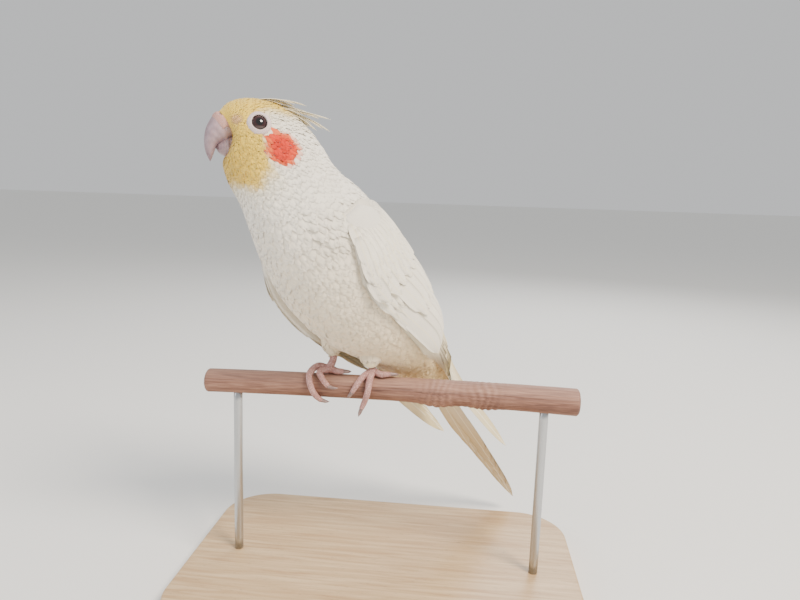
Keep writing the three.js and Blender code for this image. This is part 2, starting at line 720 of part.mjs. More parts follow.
// Each leg in the branch's own terms: along it, round it from the top towards the front, and the
// distance from its axis. A toe is a list of such points with its thickness, and its claw goes on.
const toeRadius = 1.55;
const legs = {
  left: {
    hip: [-8.8, 0, 20],
    knee: [-8.6, -1.5, 13.8],
    ankle: [-8.3, 0.2, 10.4],
    pad: [-8, 6, 8.4],
    toes: [
      { path: [[-8, 8, 8.3], [-8.5, 45, 7.9], [-9, 88, 7.9], [-10.6, 128, 8.6], [-12, 143, 11]], claw: [-13.4, 152, 14.6] },
      { path: [[-9, 8, 8.3], [-12, 36, 7.9], [-14.4, 66, 7.9], [-16.6, 94, 7.9]], claw: [-18.9, 117, 8.2] },
      { path: [[-7, 2, 8.3], [-3.3, 16, 7.9], [1, 12, 7.9]], claw: [5, 5, 7.6] },
      { path: [[-8, -6, 8.3], [-6.6, -40, 7.9], [-5.4, -75, 7.9], [-4.6, -105, 7.9]], claw: [-4.2, -130, 8] },
    ],
  },
  right: {
    hip: [-29.5, 6, 27],
    knee: [-28.3, 2.4, 18],
    ankle: [-27.7, 0.8, 13.6],
    pad: [-29.5, 4, 8.6],
    toes: [
      { path: [[-30, 0, 8.6], [-35, 4, 9.8], [-38.3, 32, 8.2], [-37.4, 72, 7.9], [-35, 112, 7.9], [-32.5, 142, 8]], claw: [-28.4, 150, 8.2] },
      { path: [[-30.5, 6, 8.4], [-33.6, 22, 8.2], [-31.6, 52, 7.9], [-28.4, 78, 7.9]], claw: [-23.6, 82, 7.9] },
      { path: [[-28.6, -2, 8.3], [-25.6, 8, 7.9], [-22, 10, 7.9]], claw: [-18.4, 5, 7.7] },
      { path: [[-29.5, -8, 8.3], [-29, -42, 7.9], [-29.4, -76, 7.9], [-30.2, -105, 7.9]], claw: [-31, -128, 8] },
    ],
  },
};

const onBranch = ([along, angle, distance]) => roundBranch(along, angle, distance);
const overBranch = ([along, y, z]) => new THREE.Vector3(along, y, branch.height + z);

function makeLeg(side) {
  const { hip, knee, ankle, pad, toes } = legs[side];
  const clear = branchSolid(gap);
  const clawLength = 0.3;
  const bodyClear = trunk(gap).transform(animalMatrix.toArray());
  const thighEnd = overBranch(knee).lerp(overBranch(ankle), 0.55);
  const thigh = tube([hip, knee].map(overBranch).concat(thighEnd), [8, 5.4, 3], { sides: 12, steps: 5 });
  const shankTop = thighEnd.clone().lerp(overBranch(ankle), 0.12);
  const shank = tube([shankTop, overBranch(ankle), onBranch(pad)], [1.7, 1.75, 2.1], { steps: 5 });
  const padBall = solidOf(
    new THREE.IcosahedronGeometry(2.5, 2),
    new THREE.Matrix4().setPosition(onBranch(pad)),
  );
  const toe = ({ path }, grow = 0) => {
    const radii = path.map((_, i) => mix(1.1, 0.8, i / (path.length - 1)) * toeRadius + grow);
    return tube(path.map(onBranch), radii, { steps: 3 * (path.length - 1) });
  };
  const foot = fuse([shank, padBall, ...toes.map((each) => toe(each))]).subtract(clear);
  const claws = toes.map(({ path, claw }, i) => {
    const [before, root, tip] = [path.at(-2), path.at(-1), claw].map(onBranch);
    const ahead = root.clone().sub(before).normalize();
    const start = root.clone().addScaledVector(ahead, clawLength);
    const bend = start.clone().lerp(tip, 0.5).addScaledVector(ahead, 0.6);
    const horny = tube([start, bend, tip], [1.05, 0.8, 0.22], { sides: 6, steps: 4 });
    return named(`claw_${side}_${i + 1}`, horny.subtract(clear).subtract(toe(toes[i], gap)), "bill");
  });
  return [
    named(`thigh_${side}`, thigh.subtract(bodyClear).subtract(clear), "plumage"),
    named(`foot_${side}`, foot, "skin"),
    ...claws,
  ];
}

function makeBody() {
  return [
    named("neck", bodyStretch(cuts.neck + cuts.share, cuts.head - cuts.share, { rings: 3 }), "plumage"),
    named("torso", trunk(0).subtract(branchInAnimal), "plumage"),
    makeTail(),
    makeWing("left"),
    makeWing("right"),
  ];
}

const animal = new THREE.Group();
animal.applyMatrix4(animalMatrix);
animal.add(...makeBody(), ...makeHead());

const model = new THREE.Group();
model.add(makeBranch(), ...makeStand(), animal);
model.add(...makeLeg("left"), ...makeLeg("right"));

export default model;
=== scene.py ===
# Lutino cockatiel, life size, on a cut length of branch held by a plain display stand
import math
import bpy
import numpy as np
from mathutils import Matrix, Vector


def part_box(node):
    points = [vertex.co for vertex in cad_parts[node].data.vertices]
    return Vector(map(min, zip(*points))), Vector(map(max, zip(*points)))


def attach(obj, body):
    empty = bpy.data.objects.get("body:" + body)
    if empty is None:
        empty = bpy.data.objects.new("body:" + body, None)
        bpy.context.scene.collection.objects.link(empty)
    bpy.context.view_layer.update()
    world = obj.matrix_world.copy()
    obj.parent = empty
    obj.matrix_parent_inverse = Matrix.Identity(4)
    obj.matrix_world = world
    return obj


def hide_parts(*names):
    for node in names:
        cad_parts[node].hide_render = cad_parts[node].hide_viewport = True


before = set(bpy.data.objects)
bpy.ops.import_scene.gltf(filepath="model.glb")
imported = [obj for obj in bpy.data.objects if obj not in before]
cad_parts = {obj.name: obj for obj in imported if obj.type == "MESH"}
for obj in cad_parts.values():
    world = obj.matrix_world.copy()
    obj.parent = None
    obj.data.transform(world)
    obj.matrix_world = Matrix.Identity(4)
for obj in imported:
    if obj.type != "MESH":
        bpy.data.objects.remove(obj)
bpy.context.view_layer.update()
mm = 0.001
rng = np.random.default_rng(41)


def hexColour(text):  # sRGB hex to linear
    channels = [int(text[i:i + 2], 16) / 255 for i in (1, 3, 5)]
    return np.array([c / 12.92 if c <= 0.04045 else ((c + 0.055) / 1.055) ** 2.4 for c in channels])


def smooth(low, high, x):
    t = np.clip((x - low) / (high - low), 0, 1)
    return t * t * (3 - 2 * t)


def mix(a, b, t):
    return a + (b - a) * t


def unit(v):
    return v / (np.linalg.norm(v, axis=-1, keepdims=True) + 1e-12)


# a mesh piece from arrays in the frame's millimetres, with its point colours and uv maps
def addPiece(name, points, faces, material, nodes=(), colours=None, uvs=None, rims=None):
    mesh = bpy.data.meshes.new(name)
    faces = np.asarray(faces)
    mesh.vertices.add(len(points))
    mesh.vertices.foreach_set("co", (np.asarray(points) * mm).astype(np.float32).ravel())
    mesh.loops.add(faces.size)
    mesh.loops.foreach_set("vertex_index", faces.astype(np.int32).ravel())
    mesh.polygons.add(len(faces))
    mesh.polygons.foreach_set("loop_start", np.arange(0, faces.size, faces.shape[1], dtype=np.int32))
    smoothFaces = np.ones(len(faces), bool) if rims is None else ~rims  # vane edges stay crisp
    mesh.polygons.foreach_set("use_smooth", smoothFaces)
    mesh.update(calc_edges=True)
    for uvName, values in (uvs or {}).items():
        layer = mesh.uv_layers.new(name=uvName)
        layer.data.foreach_set("uv", np.asarray(values)[faces.ravel()].astype(np.float32).ravel())
    if colours is not None:
        layer = mesh.color_attributes.new("plume", "FLOAT_COLOR", "POINT")
        rgba = np.concatenate([colours, np.ones((len(colours), 1))], axis=1)
        layer.data.foreach_set("color", rgba.astype(np.float32).ravel())
    mesh.materials.append(material)
    piece = bpy.data.objects.new(name, mesh)
    bpy.context.scene.collection.objects.link(piece)
    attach(piece, "root")
    if nodes:
        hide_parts(*nodes)
    return piece


def addNode(tree, kind, settings=None, **links):  # one node with its settings, colour stops and inputs
    node = tree.nodes.new(kind)
    for key, value in (settings or {}).items():
        if key == "stops":
            elements = node.color_ramp.elements
            while len(elements) < len(value):
                elements.new(0.5)
            for element, (spot, text) in zip(elements, value):
                element.position, element.color = spot, (*hexColour(text), 1)
        else:
            setattr(node, key, value)
    for key, value in links.items():
        numbered = key[0] == "i" and key[1:].isdigit()
        socket = node.inputs[int(key[1:]) if numbered else key.replace("_", " ")]
        if isinstance(value, bpy.types.NodeSocket):
            tree.links.new(value, socket)
        else:
            socket.default_value = value
    return node


def newMaterial(name, **fixed):
    material = bpy.data.materials.new(name)
    material.use_nodes = True
    shader = material.node_tree.nodes["Principled BSDF"]
    for key, value in fixed.items():
        shader.inputs[key.replace("_", " ")].default_value = value
    return material, material.node_tree, shader


def finishSurface(tree, shader, colour, height, strength, depth):  # colour, and relief of a depth in mm
    tree.links.new(colour, shader.inputs["Base Color"])
    bump = addNode(tree, "ShaderNodeBump", Strength=strength, Distance=depth * mm, Height=height)
    tree.links.new(bump.outputs[0], shader.inputs["Normal"])


# the camera stands where the photograph's stood
view = {"focal": 640, "yaw": 5.4, "pitch": 8.9, "roll": 1.9, "place": (33.0, -302.6, 191.9)}
yaw, pitch, roll = (math.radians(view[k]) for k in ("yaw", "pitch", "roll"))
ahead = Vector((-math.sin(yaw) * math.cos(pitch), math.cos(yaw) * math.cos(pitch), -math.sin(pitch)))
level = Vector((math.cos(yaw), math.sin(yaw), 0))
upright = Vector((-math.sin(yaw) * math.sin(pitch), math.cos(yaw) * math.sin(pitch), math.cos(pitch)))
camRight = level * math.cos(roll) + upright * math.sin(roll)
camUp = upright * math.cos(roll) - level * math.sin(roll)
camera = bpy.data.objects.new("camera", bpy.data.cameras.new("camera"))
camera.data.lens = 36 * view["focal"] / 800
camera.data.clip_start = 0.01
camera.matrix_world = Matrix.Translation(Vector(view["place"]) * mm) \
    @ Matrix((camRight, camUp, -ahead)).transposed().to_4x4()
bpy.context.scene.collection.objects.link(camera)
bpy.context.scene.camera = camera

# the body's outline from the tail's core to the bill, as in the part: back and belly, each forward
# and up in the bird's own frame, and half the width between them
bird = {"along": -20, "height": 100, "turn": 223.4, "headTurn": -18, "neckAxis": 28, "roll": 12}
outline = [
    ("tailCore", (-89.3, -40.3), (-86.9, -43.2), 7.7),
    ("tailRoot", (-75.8, -16.3), (-68.2, -25.9), 10.6),
    ("vent", (-63.4, 5.8), (-49.9, -13.4), 14.4),
    ("rump", (-51.8, 25.9), (-32, -1.5), 19.7),
    ("flank", (-40.3, 44.2), (-11, 10.5), 25),
    ("belly", (-29.5, 61.9), (12, 23), 27.8),
    ("middle", (-17, 78.2), (30.7, 40.3), 28.3),
    ("breast", (-5, 91.1), (42.7, 59.5), 26.4),
    ("shoulders", (5, 100.1), (49.9, 75.8), 22.6),
    ("neck", (13, 106.8), (54.7, 87.8), 18.2),
    ("nape", (18.5, 114.5), (58.4, 95.3), 16.3),
    ("cheeks", (26.9, 124.1), (60.5, 101.1), 15.6),
    ("crown", (39.6, 131.4), (61.1, 105.4), 14.4),
    ("brow", (50.9, 132.6), (59.5, 108.7), 12.3),
    ("face", (58.6, 130.2), (57.6, 112.5), 9.4),
    ("billRoot", (62.7, 126.3), (57.1, 116.2), 6.2),
]


def through(points, t):  # a centripetal curve through points, t from 0 to 1
    pts = np.asarray(points, float)
    last = len(pts) - 1
    t = np.clip(np.atleast_1d(t), 0, 1) * last
    i = np.minimum(t.astype(int), last - 1)
    w = (t - i)[:, None]
    full = np.vstack([2 * pts[0] - pts[1], pts, 2 * pts[-1] - pts[-2]])
    p0, p1, p2, p3 = (full[i + k] for k in range(4))
    d0, d1, d2 = (np.maximum((((a - b) ** 2).sum(1) ** 0.25), 1e-4)[:, None]
        for a, b in ((p0, p1), (p1, p2), (p2, p3)))
    t1 = ((p1 - p0) / d0 - (p2 - p0) / (d0 + d1) + (p2 - p1) / d1) * d1
    t2 = ((p2 - p1) / d1 - (p3 - p1) / (d1 + d2) + (p3 - p2) / d2) * d1
    return p1 + t1 * w + (-3 * p1 + 3 * p2 - 2 * t1 - t2) * w ** 2 + (2 * p1 - 2 * p2 + t1 + t2) * w ** 3


fine = np.linspace(0, 1, 3001)
backLine = through([(s[1][0], 0, s[1][1]) for s in outline], fine)
bellyLine = through([(s[2][0], 0, s[2][1]) for s in outline], fine)
halfLine = through([(s[3], i, 0) for i, s in enumerate(outline)], fine)[:, 0]
lastStation = len(outline) - 1


def alongLine(line, at):
    x = np.clip(at / lastStation, 0, 1) * (len(fine) - 1)
    i = np.minimum(x.astype(int), len(fine) - 2)
    w = x - i
    if line.ndim == 2:
        w = w[..., None]
    return line[i] * (1 - w) + line[i + 1] * w


def turnHead(points, share=1.0):
    a = np.radians(bird["headTurn"] * share)
    x, y = points[..., 0] - bird["neckAxis"], points[..., 1]
    turned = [x * np.cos(a) - y * np.sin(a) + bird["neckAxis"], x * np.sin(a) + y * np.cos(a), points[..., 2]]
    return np.stack(turned, axis=-1)


def hullPoint(at, angle):
    at, angle = np.broadcast_arrays(np.asarray(at, float), np.asarray(angle, float))
    back, belly = alongLine(backLine, at), alongLine(bellyLine, at)
    rolled = np.radians(angle - bird["roll"] * (1 - smooth(3, 8, at)))
    point = (back + belly) / 2 + (back - belly) / 2 * np.cos(rolled)[..., None]
    point[..., 1] = alongLine(halfLine, at) * np.sin(rolled)
    return turnHead(point, smooth(8, 11, at))


def raised(at, angle, lift):
    at, angle = np.broadcast_arrays(np.asarray(at, float), np.asarray(angle, float))
    along = hullPoint(at + 0.02, angle) - hullPoint(at - 0.02, angle)
    around = hullPoint(at, angle + 1) - hullPoint(at, angle - 1)
    normal = unit(np.cross(along, around))
    return hullPoint(at, angle) + normal * np.asarray(lift, float)[..., None]


def toFrame(points):  # the bird's own frame to the stand's
    a = math.radians(bird["turn"])
    x, y = points[..., 0], points[..., 1]
    placed = [x * math.cos(a) - y * math.sin(a) + bird["along"], x * math.sin(a) + y * math.cos(a),
        points[..., 2] + bird["height"]]
    return np.stack(placed, axis=-1)


def gridFaces(rows, columns, wrap=True):
    r, c = np.meshgrid(np.arange(rows - 1), np.arange(columns if wrap else columns - 1), indexing="ij")
    n = (c + 1) % columns
    return np.stack([r * columns + c, r * columns + n, (r + 1) * columns + n, (r + 1) * columns + c],
        axis=-1).reshape(-1, 4)


def closedTube(rows, columns):  # rings joined up, with a hub point after them for each end
    faces = gridFaces(rows, columns)
    n = rows * columns
    ring = np.arange(columns)
    following = (ring + 1) % columns
    first = np.stack([np.full(columns, n), following, ring], axis=-1)
    last = np.stack([np.full(columns, n + 1), n - columns + ring, n - columns + following], axis=-1)
    return np.vstack([faces[:, [0, 1, 2]], faces[:, [0, 2, 3]], first, last])


def withHubs(rings):  # a hub point in the middle of the first and of the last ring
    return np.vstack([rings.reshape(-1, 3), rings[0].mean(axis=0)[None], rings[-1].mean(axis=0)[None]])


# feathers: each is a thin closed vane laid over a surface that gives a point from two places on it
# and a lift, so it bends with the body. The tip's points are drawn unevenly, as loose barbs are.
featherShapes = {
    "contour": {"y": [0, 0.3, 0.6, 0.84, 1], "w": [0.5, 0.92, 1, 0.88, 0.56], "x": [-1, -0.5, 0, 0.5, 1],
        "ragged": 0.07, "round": 0.26},
    "face": {"y": [0, 0.4, 0.78, 1], "w": [0.6, 1, 0.9, 0.5], "x": [-1, -0.35, 0.35, 1], "ragged": 0.1,
        "round": 0.24},
    "covert": {"y": [0, 0.25, 0.5, 0.72, 0.88, 1], "w": [0.6, 0.9, 1, 1, 0.86, 0.55],
        "x": [-1, -0.6, 0, 0.6, 1], "ragged": 0.035, "round": 0.16},
    "flight": {"y": [0, 0.1, 0.2, 0.3, 0.4, 0.5, 0.6, 0.7, 0.79, 0.86, 0.92, 0.965, 1],
               "w": [0.55, 0.75, 0.86, 0.93, 0.97, 1, 1, 0.97, 0.9, 0.78, 0.6, 0.4, 0.16],
               "x": [-1, -0.7, -0.4, -0.06, 0.06, 0.4, 0.7, 1], "ragged": 0.008, "round": 0.02},
}


def plumes(surface, root, tip, lifts, width, shape, thick=0.22, roll=0.0, camber=0.12, bend=0.0):
    form = featherShapes[shape]
    y, w, x = (np.array(form[k], float) for k in ("y", "w", "x"))
    count = len(root)
    width = np.broadcast_to(np.asarray(width, float), count)
    roll = np.broadcast_to(np.asarray(roll, float), count)
    bend = np.broadcast_to(np.asarray(bend, float), count)
    lifts = np.broadcast_to(np.asarray(lifts, float), (count, 2))
    t = np.broadcast_to(y[None, :, None], (count, len(y), len(x))).copy()
    t -= form["round"] * (x ** 2)[None, None, :] * (y ** 3)[None, :, None]
    t += form["ragged"] * rng.uniform(-1, 0.6, t.shape) * (y > 0.95)[None, :, None]
    a = root[:, 0, None, None] + (tip - root)[:, 0, None, None] * t
    b = root[:, 1, None, None] + ((tip - root)[:, 1, None, None]) * t + bend[:, None, None] * t ** 2
    lift = lifts[:, 0, None, None] + (lifts[:, 1] - lifts[:, 0])[:, None, None] * t
    place = surface(a, b, lift)
    above = unit(surface(a, b, lift + 1) - place)
    step = (tip - root)[:, None, None, :] * 0.02
    forward = unit(surface(a + step[..., 0], b + step[..., 1] + 0.04 * bend[:, None, None] * t, lift) - place)
    side = unit(np.cross(above, forward))
    half = (width / 2)[:, None, None] * w[None, :, None] * x[None, None, :]
    tilt = side * np.cos(roll)[:, None, None, None] + above * np.sin(roll)[:, None, None, None]
    dome = -camber * (width / 2)[:, None, None] * (x ** 2)[None, None, :] * w[None, :, None]
    edge = (1 - 0.82 * np.abs(x) ** 2)[None, None, :] * np.where(y > 0.95, 0.35, 1.0)[None, :, None]
    body = place + tilt * half[..., None] + above * dome[..., None]
    rise = above * (thick / 2 * edge)[..., None]
    top, under = (body + rise), (body - rise)
    rows, cols = len(y), len(x)
    cell = rows * cols
    points = np.concatenate([top.reshape(count, cell, 3), under.reshape(count, cell, 3)], axis=1)
    flat = gridFaces(rows, cols, wrap=False)
    rim = [r * cols for r in range(rows)] + [(rows - 1) * cols + c for c in range(1, cols)]
    rim += [r * cols + cols - 1 for r in range(rows - 2, -1, -1)] + [c for c in range(cols - 2, 0, -1)]
    rim = np.array(rim)
    wall = np.stack([rim, np.roll(rim, -1), np.roll(rim, -1) + cell, rim + cell], axis=-1)
    faces = np.concatenate([flat, flat[:, ::-1] + cell, wall[:, ::-1]])
    rims = np.tile(np.arange(len(faces)) >= 2 * len(flat), count)
    faces = (faces[None] + (np.arange(count) * 2 * cell)[:, None, None]).reshape(-1, 4)
    span = np.linalg.norm(place[:, -1:, :1] - place[:, :1, :1], axis=-1)
    vane = np.stack([np.broadcast_to(half, t.shape), t * span], axis=-1)
    vane = np.concatenate([vane.reshape(count, cell, 2)] * 2, axis=1)
    local = np.stack([np.broadcast_to(x[None, :], (rows, cols)),
        np.broadcast_to(y[:, None] * 2 - 1, (rows, cols))], axis=-1)
    patch = np.concatenate([local.reshape(cell, 2)] * 2, axis=0)[None] * 0.0015
    along = np.concatenate([t.reshape(count, cell)] * 2, axis=1)
    return {"points": points.reshape(-1, 3), "faces": faces, "vane": vane.reshape(-1, 2),
        "along": along.reshape(-1, 1), "rims": rims, "each": 2 * cell,
        "patch": np.broadcast_to(patch, (count, 2 * cell, 2))}


def lengthRatios(surface, a, b):  # how many millimetres one step of each place is
    zero = np.zeros_like(a)
    da = np.linalg.norm(surface(a + 0.01, b, zero) - surface(a - 0.01, b, zero), axis=-1) / 0.02
    db = np.linalg.norm(surface(a, b + 0.5, zero) - surface(a, b - 0.5, zero), axis=-1)
    return da, db


def blotch(points, size):  # soft, repeatable unevenness from a few sines, about -1 to 1
    p = points / size
    return (np.sin(p[..., 0] * 1.7 + 2 * np.sin(p[..., 1] * 1.3))
        + np.sin(p[..., 1] * 2.1 + 1.6 * np.sin(p[..., 2] * 1.9)) + np.sin(p[..., 2] * 1.5 + p[..., 0])) / 3


# markings, the same for the skin and the coat; under is the belly's yellowish tone darkened to tan by painted
# shade
marks = {"white": "#FAF3E4", "cream": "#F4E7BE", "yellow": "#F2CC3E", "throat": "#E8BE30",
    "cheek": "#DE2F08", "cheekEdge": "#EE6A34", "under": "#DDBD80", "flight": "#EBDDB2",
    "tail": "#D9C08C", "lore": "#CFA07C"}
linear = {k: hexColour(v) for k, v in marks.items()}
cheek = {"at": 10.62, "angle": 80, "reach": 7.3}
cheekSpots = {s: hullPoint(cheek["at"], s * cheek["angle"]) for s in (-1, 1)}
# where the yellow starts
yellowEdge = {"round": [0, 30, 55, 75, 92, 105, 132, 158, 180],
    "at": [11.3, 11.5, 12.1, 12.0, 11.2, 10.0, 9.6, 10.0, 10.1]}


def bodyColour(at, angle):
    at, angle = np.broadcast_arrays(np.asarray(at, float), np.asarray(angle, float))
    place = hullPoint(at, angle)
    round180 = np.abs((angle + 180) % 360 - 180)  # 0 on the back, 180 on the throat
    uneven = blotch(place, 5.0)
    colour = np.ones(at.shape + (3,)) * linear["white"]
    # painted shade: the underside, turned away from the light, is tinted tan, most at the belly and vent
    under = 0.45 * smooth(45, 125, round180) * (1 - smooth(4.5, 9.0, at)) \
        + 0.5 * smooth(60, 120, round180) * (1 - smooth(2.6, 5.4, at))
    colour = mix(colour, linear["under"], under[..., None])
    colour = mix(colour, linear["cream"], (0.3 * (1 - smooth(2.0, 4.0, at)))[..., None])
    edge = np.interp(round180, yellowEdge["round"], yellowEdge["at"])
    yellow = smooth(edge - 0.35, edge + 0.45, at + 0.12 * uneven)
    wash = smooth(edge - 1.4, edge + 0.3, at)
    colour = mix(colour, linear["cream"], (0.45 * wash)[..., None])
    tint = mix(linear["yellow"], linear["throat"], smooth(90, 150, round180)[..., None])
    colour = mix(colour, tint, (0.96 * yellow)[..., None])
    for spot in cheekSpots.values():
        far = np.linalg.norm(place - spot, axis=-1) + 0.5 * blotch(place, 1.6)
        colour = mix(colour, linear["cheekEdge"],
            (1 - smooth(cheek["reach"] - 1.2, cheek["reach"] + 0.8, far))[..., None])
        colour = mix(colour, linear["cheek"],
            (1 - smooth(cheek["reach"] - 3.0, cheek["reach"] - 0.9, far))[..., None])
    for sign in (-1, 1):  # pinkish brown lore between the cere and the eye
        far = np.linalg.norm((place - hullPoint(13.5, sign * 84.0)) / np.array([1.0, 1.0, 0.75]), axis=-1)
        colour = mix(colour, linear["lore"], (0.75 * (1 - smooth(1.2, 4.2, far)))[..., None])
    return colour


# feather keratin, soft and matt: barbs show as fine slanting lines, and the edges catch some light
def featherMaterial(name, barb, bumpHeight, shaft):
    material, tree, shader = newMaterial(name, Roughness=0.78, IOR=1.5, Sheen_Weight=0.25,
        Sheen_Roughness=0.5)
    plume = addNode(tree, "ShaderNodeVertexColor", {"layer_name": "plume"})
    vane = addNode(tree, "ShaderNodeUVMap", {"uv_map": "vane"})
    parts = addNode(tree, "ShaderNodeSeparateXYZ", Vector=vane.outputs[0])
    out = addNode(tree, "ShaderNodeMath", {"operation": "ABSOLUTE"}, i0=parts.outputs["X"])
    lines = addNode(tree, "ShaderNodeMath", {"operation": "MULTIPLY_ADD"}, i0=parts.outputs["Y"],
        i1=barb["perMm"], i2=0.0)
    slant = addNode(tree, "ShaderNodeMath", {"operation": "MULTIPLY_ADD"}, i0=out.outputs[0],
        i1=-barb["slant"], i2=lines.outputs[0])
    wobble = addNode(tree, "ShaderNodeTexNoise", Scale=260.0, Detail=2.0)
    place = addNode(tree, "ShaderNodeTexCoord")
    tree.links.new(place.outputs["Object"], wobble.inputs["Vector"])
    shaken = addNode(tree, "ShaderNodeMath", {"operation": "MULTIPLY_ADD"}, i0=wobble.outputs["Fac"], i1=4.0,
        i2=slant.outputs[0])
    wave = addNode(tree, "ShaderNodeMath", {"operation": "SINE"}, i0=shaken.outputs[0])
    shade = addNode(tree, "ShaderNodeMapRange", Value=wave.outputs[0], From_Min=-1.0, From_Max=1.0,
        To_Min=barb["dark"], To_Max=1.0)
    blotches = addNode(tree, "ShaderNodeTexNoise", Scale=90.0, Detail=4.0, Vector=place.outputs["Object"])
    patch = addNode(tree, "ShaderNodeMapRange", Value=blotches.outputs["Fac"], From_Min=0.3, From_Max=0.7,
        To_Min=0.94, To_Max=1.03)
    both = addNode(tree, "ShaderNodeMath", {"operation": "MULTIPLY"}, i0=shade.outputs[0],
        i1=patch.outputs[0])
    tinted = addNode(tree, "ShaderNodeVectorMath", {"operation": "SCALE"}, i0=plume.outputs["Color"],
        Scale=both.outputs[0])
    colour = tinted.outputs[0]
    if shaft:  # the pale quill along the middle
        near = addNode(tree, "ShaderNodeMapRange", Value=out.outputs[0], From_Min=0.18, From_Max=0.4,
            To_Min=1.0, To_Max=0.0)
        quill = addNode(tree, "ShaderNodeMix", {"data_type": "RGBA"}, i0=near.outputs[0], i6=colour,
            i7=(*hexColour(shaft), 1))
        colour = quill.outputs[2]
    finishSurface(tree, shader, colour, wave.outputs[0], 0.35, bumpHeight)
    return material


# real barbs stand 0.3 mm apart, too fine to show, so they are drawn a little over 1 mm apart
contourFeather = featherMaterial("contourFeather", {"perMm": 5.0, "slant": 3.0, "dark": 0.975}, 0.03, None)
flightFeather = featherMaterial("flightFeather", {"perMm": 6.0, "slant": 4.5, "dark": 0.95}, 0.03, "#F6ECD0")
print("camera, outline and feather keratin ready")

# bare skin under the feathers: feather tracts show as low bumps
skinMaterial, tree, shader = newMaterial("downySkin", Roughness=0.8, IOR=1.45, Sheen_Weight=0.2)
plume = addNode(tree, "ShaderNodeVertexColor", {"layer_name": "plume"})
pores = addNode(tree, "ShaderNodeTexNoise", Scale=700.0, Detail=3.0)
shade = addNode(tree, "ShaderNodeMapRange", Value=pores.outputs["Fac"], To_Min=0.82, To_Max=1.0)
tinted = addNode(tree, "ShaderNodeVectorMath", {"operation": "SCALE"}, i0=plume.outputs["Color"],
    Scale=shade.outputs[0])
finishSurface(tree, shader, tinted.outputs[0], pores.outputs["Fac"], 0.5, 0.2)

# skin: one surface under the whole coat
skin = {"rings": 190, "sides": 96, "coat": 0.9, "first": 1.75, "eyeDip": 1.2}
eye = {"at": 11.95, "angle": 76, "sunk": 0.5, "ball": 4.2, "open": 3.15, "clear": 4.3}
eyeSpots = {s: hullPoint(eye["at"], s * eye["angle"]) for s in (-1, 1)}


def coatDepth(at):  # the coat thins towards the face and the tail
    return skin["coat"] * (1 - 0.55 * smooth(11.5, 14, at))


at = np.linspace(skin["first"], lastStation, skin["rings"])[:, None] * np.ones((1, skin["sides"]))
angle = np.linspace(0, 360, skin["sides"], endpoint=False)[None] * np.ones((skin["rings"], 1))
depth = -coatDepth(at)
for spot in eyeSpots.values():  # the eye lies in a shallow hollow
    far = np.linalg.norm(hullPoint(at, angle) - spot, axis=-1)
    depth = depth - skin["eyeDip"] * (1 - smooth(2.5, 6.0, far))
points = raised(at, angle, depth)
allPoints = withHubs(points)
tri = closedTube(skin["rings"], skin["sides"])[:, ::-1]
bake = np.vstack([np.stack([angle.ravel() / 360, at.ravel() / lastStation], axis=-1),
    [[0.5, 0.0], [0.5, 1.0]]])
tint = np.vstack([bodyColour(at, angle).reshape(-1, 3), [linear["cream"], linear["lore"]]])
addPiece("skin", toFrame(allPoints), tri, skinMaterial, ["head", "neck", "torso"], tint,
    {"OFBake": bake})
print("skin", len(tri))

# the coat of the body, in bands from the tail to the face: length, spacing and width in mm
coat = {
    "stations": [0.3, 2, 4, 6, 8, 9.5, 10.6, 11.6, 12.8, 14, 15],
    "length": [13, 13, 12.5, 12, 10.5, 8.4, 6.6, 5.2, 3.6, 2.5, 1.9],
    "spacing": [2.3, 2.3, 2.3, 2.2, 2.05, 1.65, 1.3, 1.02, 0.84, 0.7, 0.6],
    "widths": [8, 8, 7.8, 7.4, 6.6, 5.2, 3.9, 2.9, 2.1, 1.5, 1.1],
    "tipLift": [0.56, 0.56, 0.56, 0.56, 0.54, 0.48, 0.42, 0.36, 0.3, 0.24, 0.2],
}


def coatValue(name, at):
    return np.interp(at, coat["stations"], coat[name])


def bodySurface(at, angle, lift):
    return raised(at, angle, lift)


def scatterBody(low, high):
    roots = []
    at = low
    row = 0
    while at < high:
        circle = np.linspace(0, 360, 73)
        ring = hullPoint(np.full(len(circle), at), circle)
        lengths = np.r_[0, np.cumsum(np.linalg.norm(np.diff(ring, axis=0), axis=1))]
        spacing = coatValue("spacing", at)
        number = max(int(lengths[-1] / (spacing * 1.12)), 6)
        at0 = (np.arange(number) + 0.5 * (row % 2) + rng.uniform(-0.3, 0.3, number)) / number % 1
        angles = np.interp(at0 * lengths[-1], lengths, circle)
        da, _ = lengthRatios(bodySurface, np.array([at]), np.array([90.0]))
        wobble = rng.uniform(-0.35, 0.35, number) * spacing / da[0]
        roots.append(np.stack([at + wobble, angles], axis=-1))
        at += spacing / da[0]
        row += 1
    return np.concatenate(roots)


def clearOf(roots, spots, reach):
    place = hullPoint(roots[:, 0], roots[:, 1])
    keep = np.ones(len(roots), bool)
    for spot in spots:
        keep &= np.linalg.norm(place - spot, axis=1) > reach
    return roots[keep]


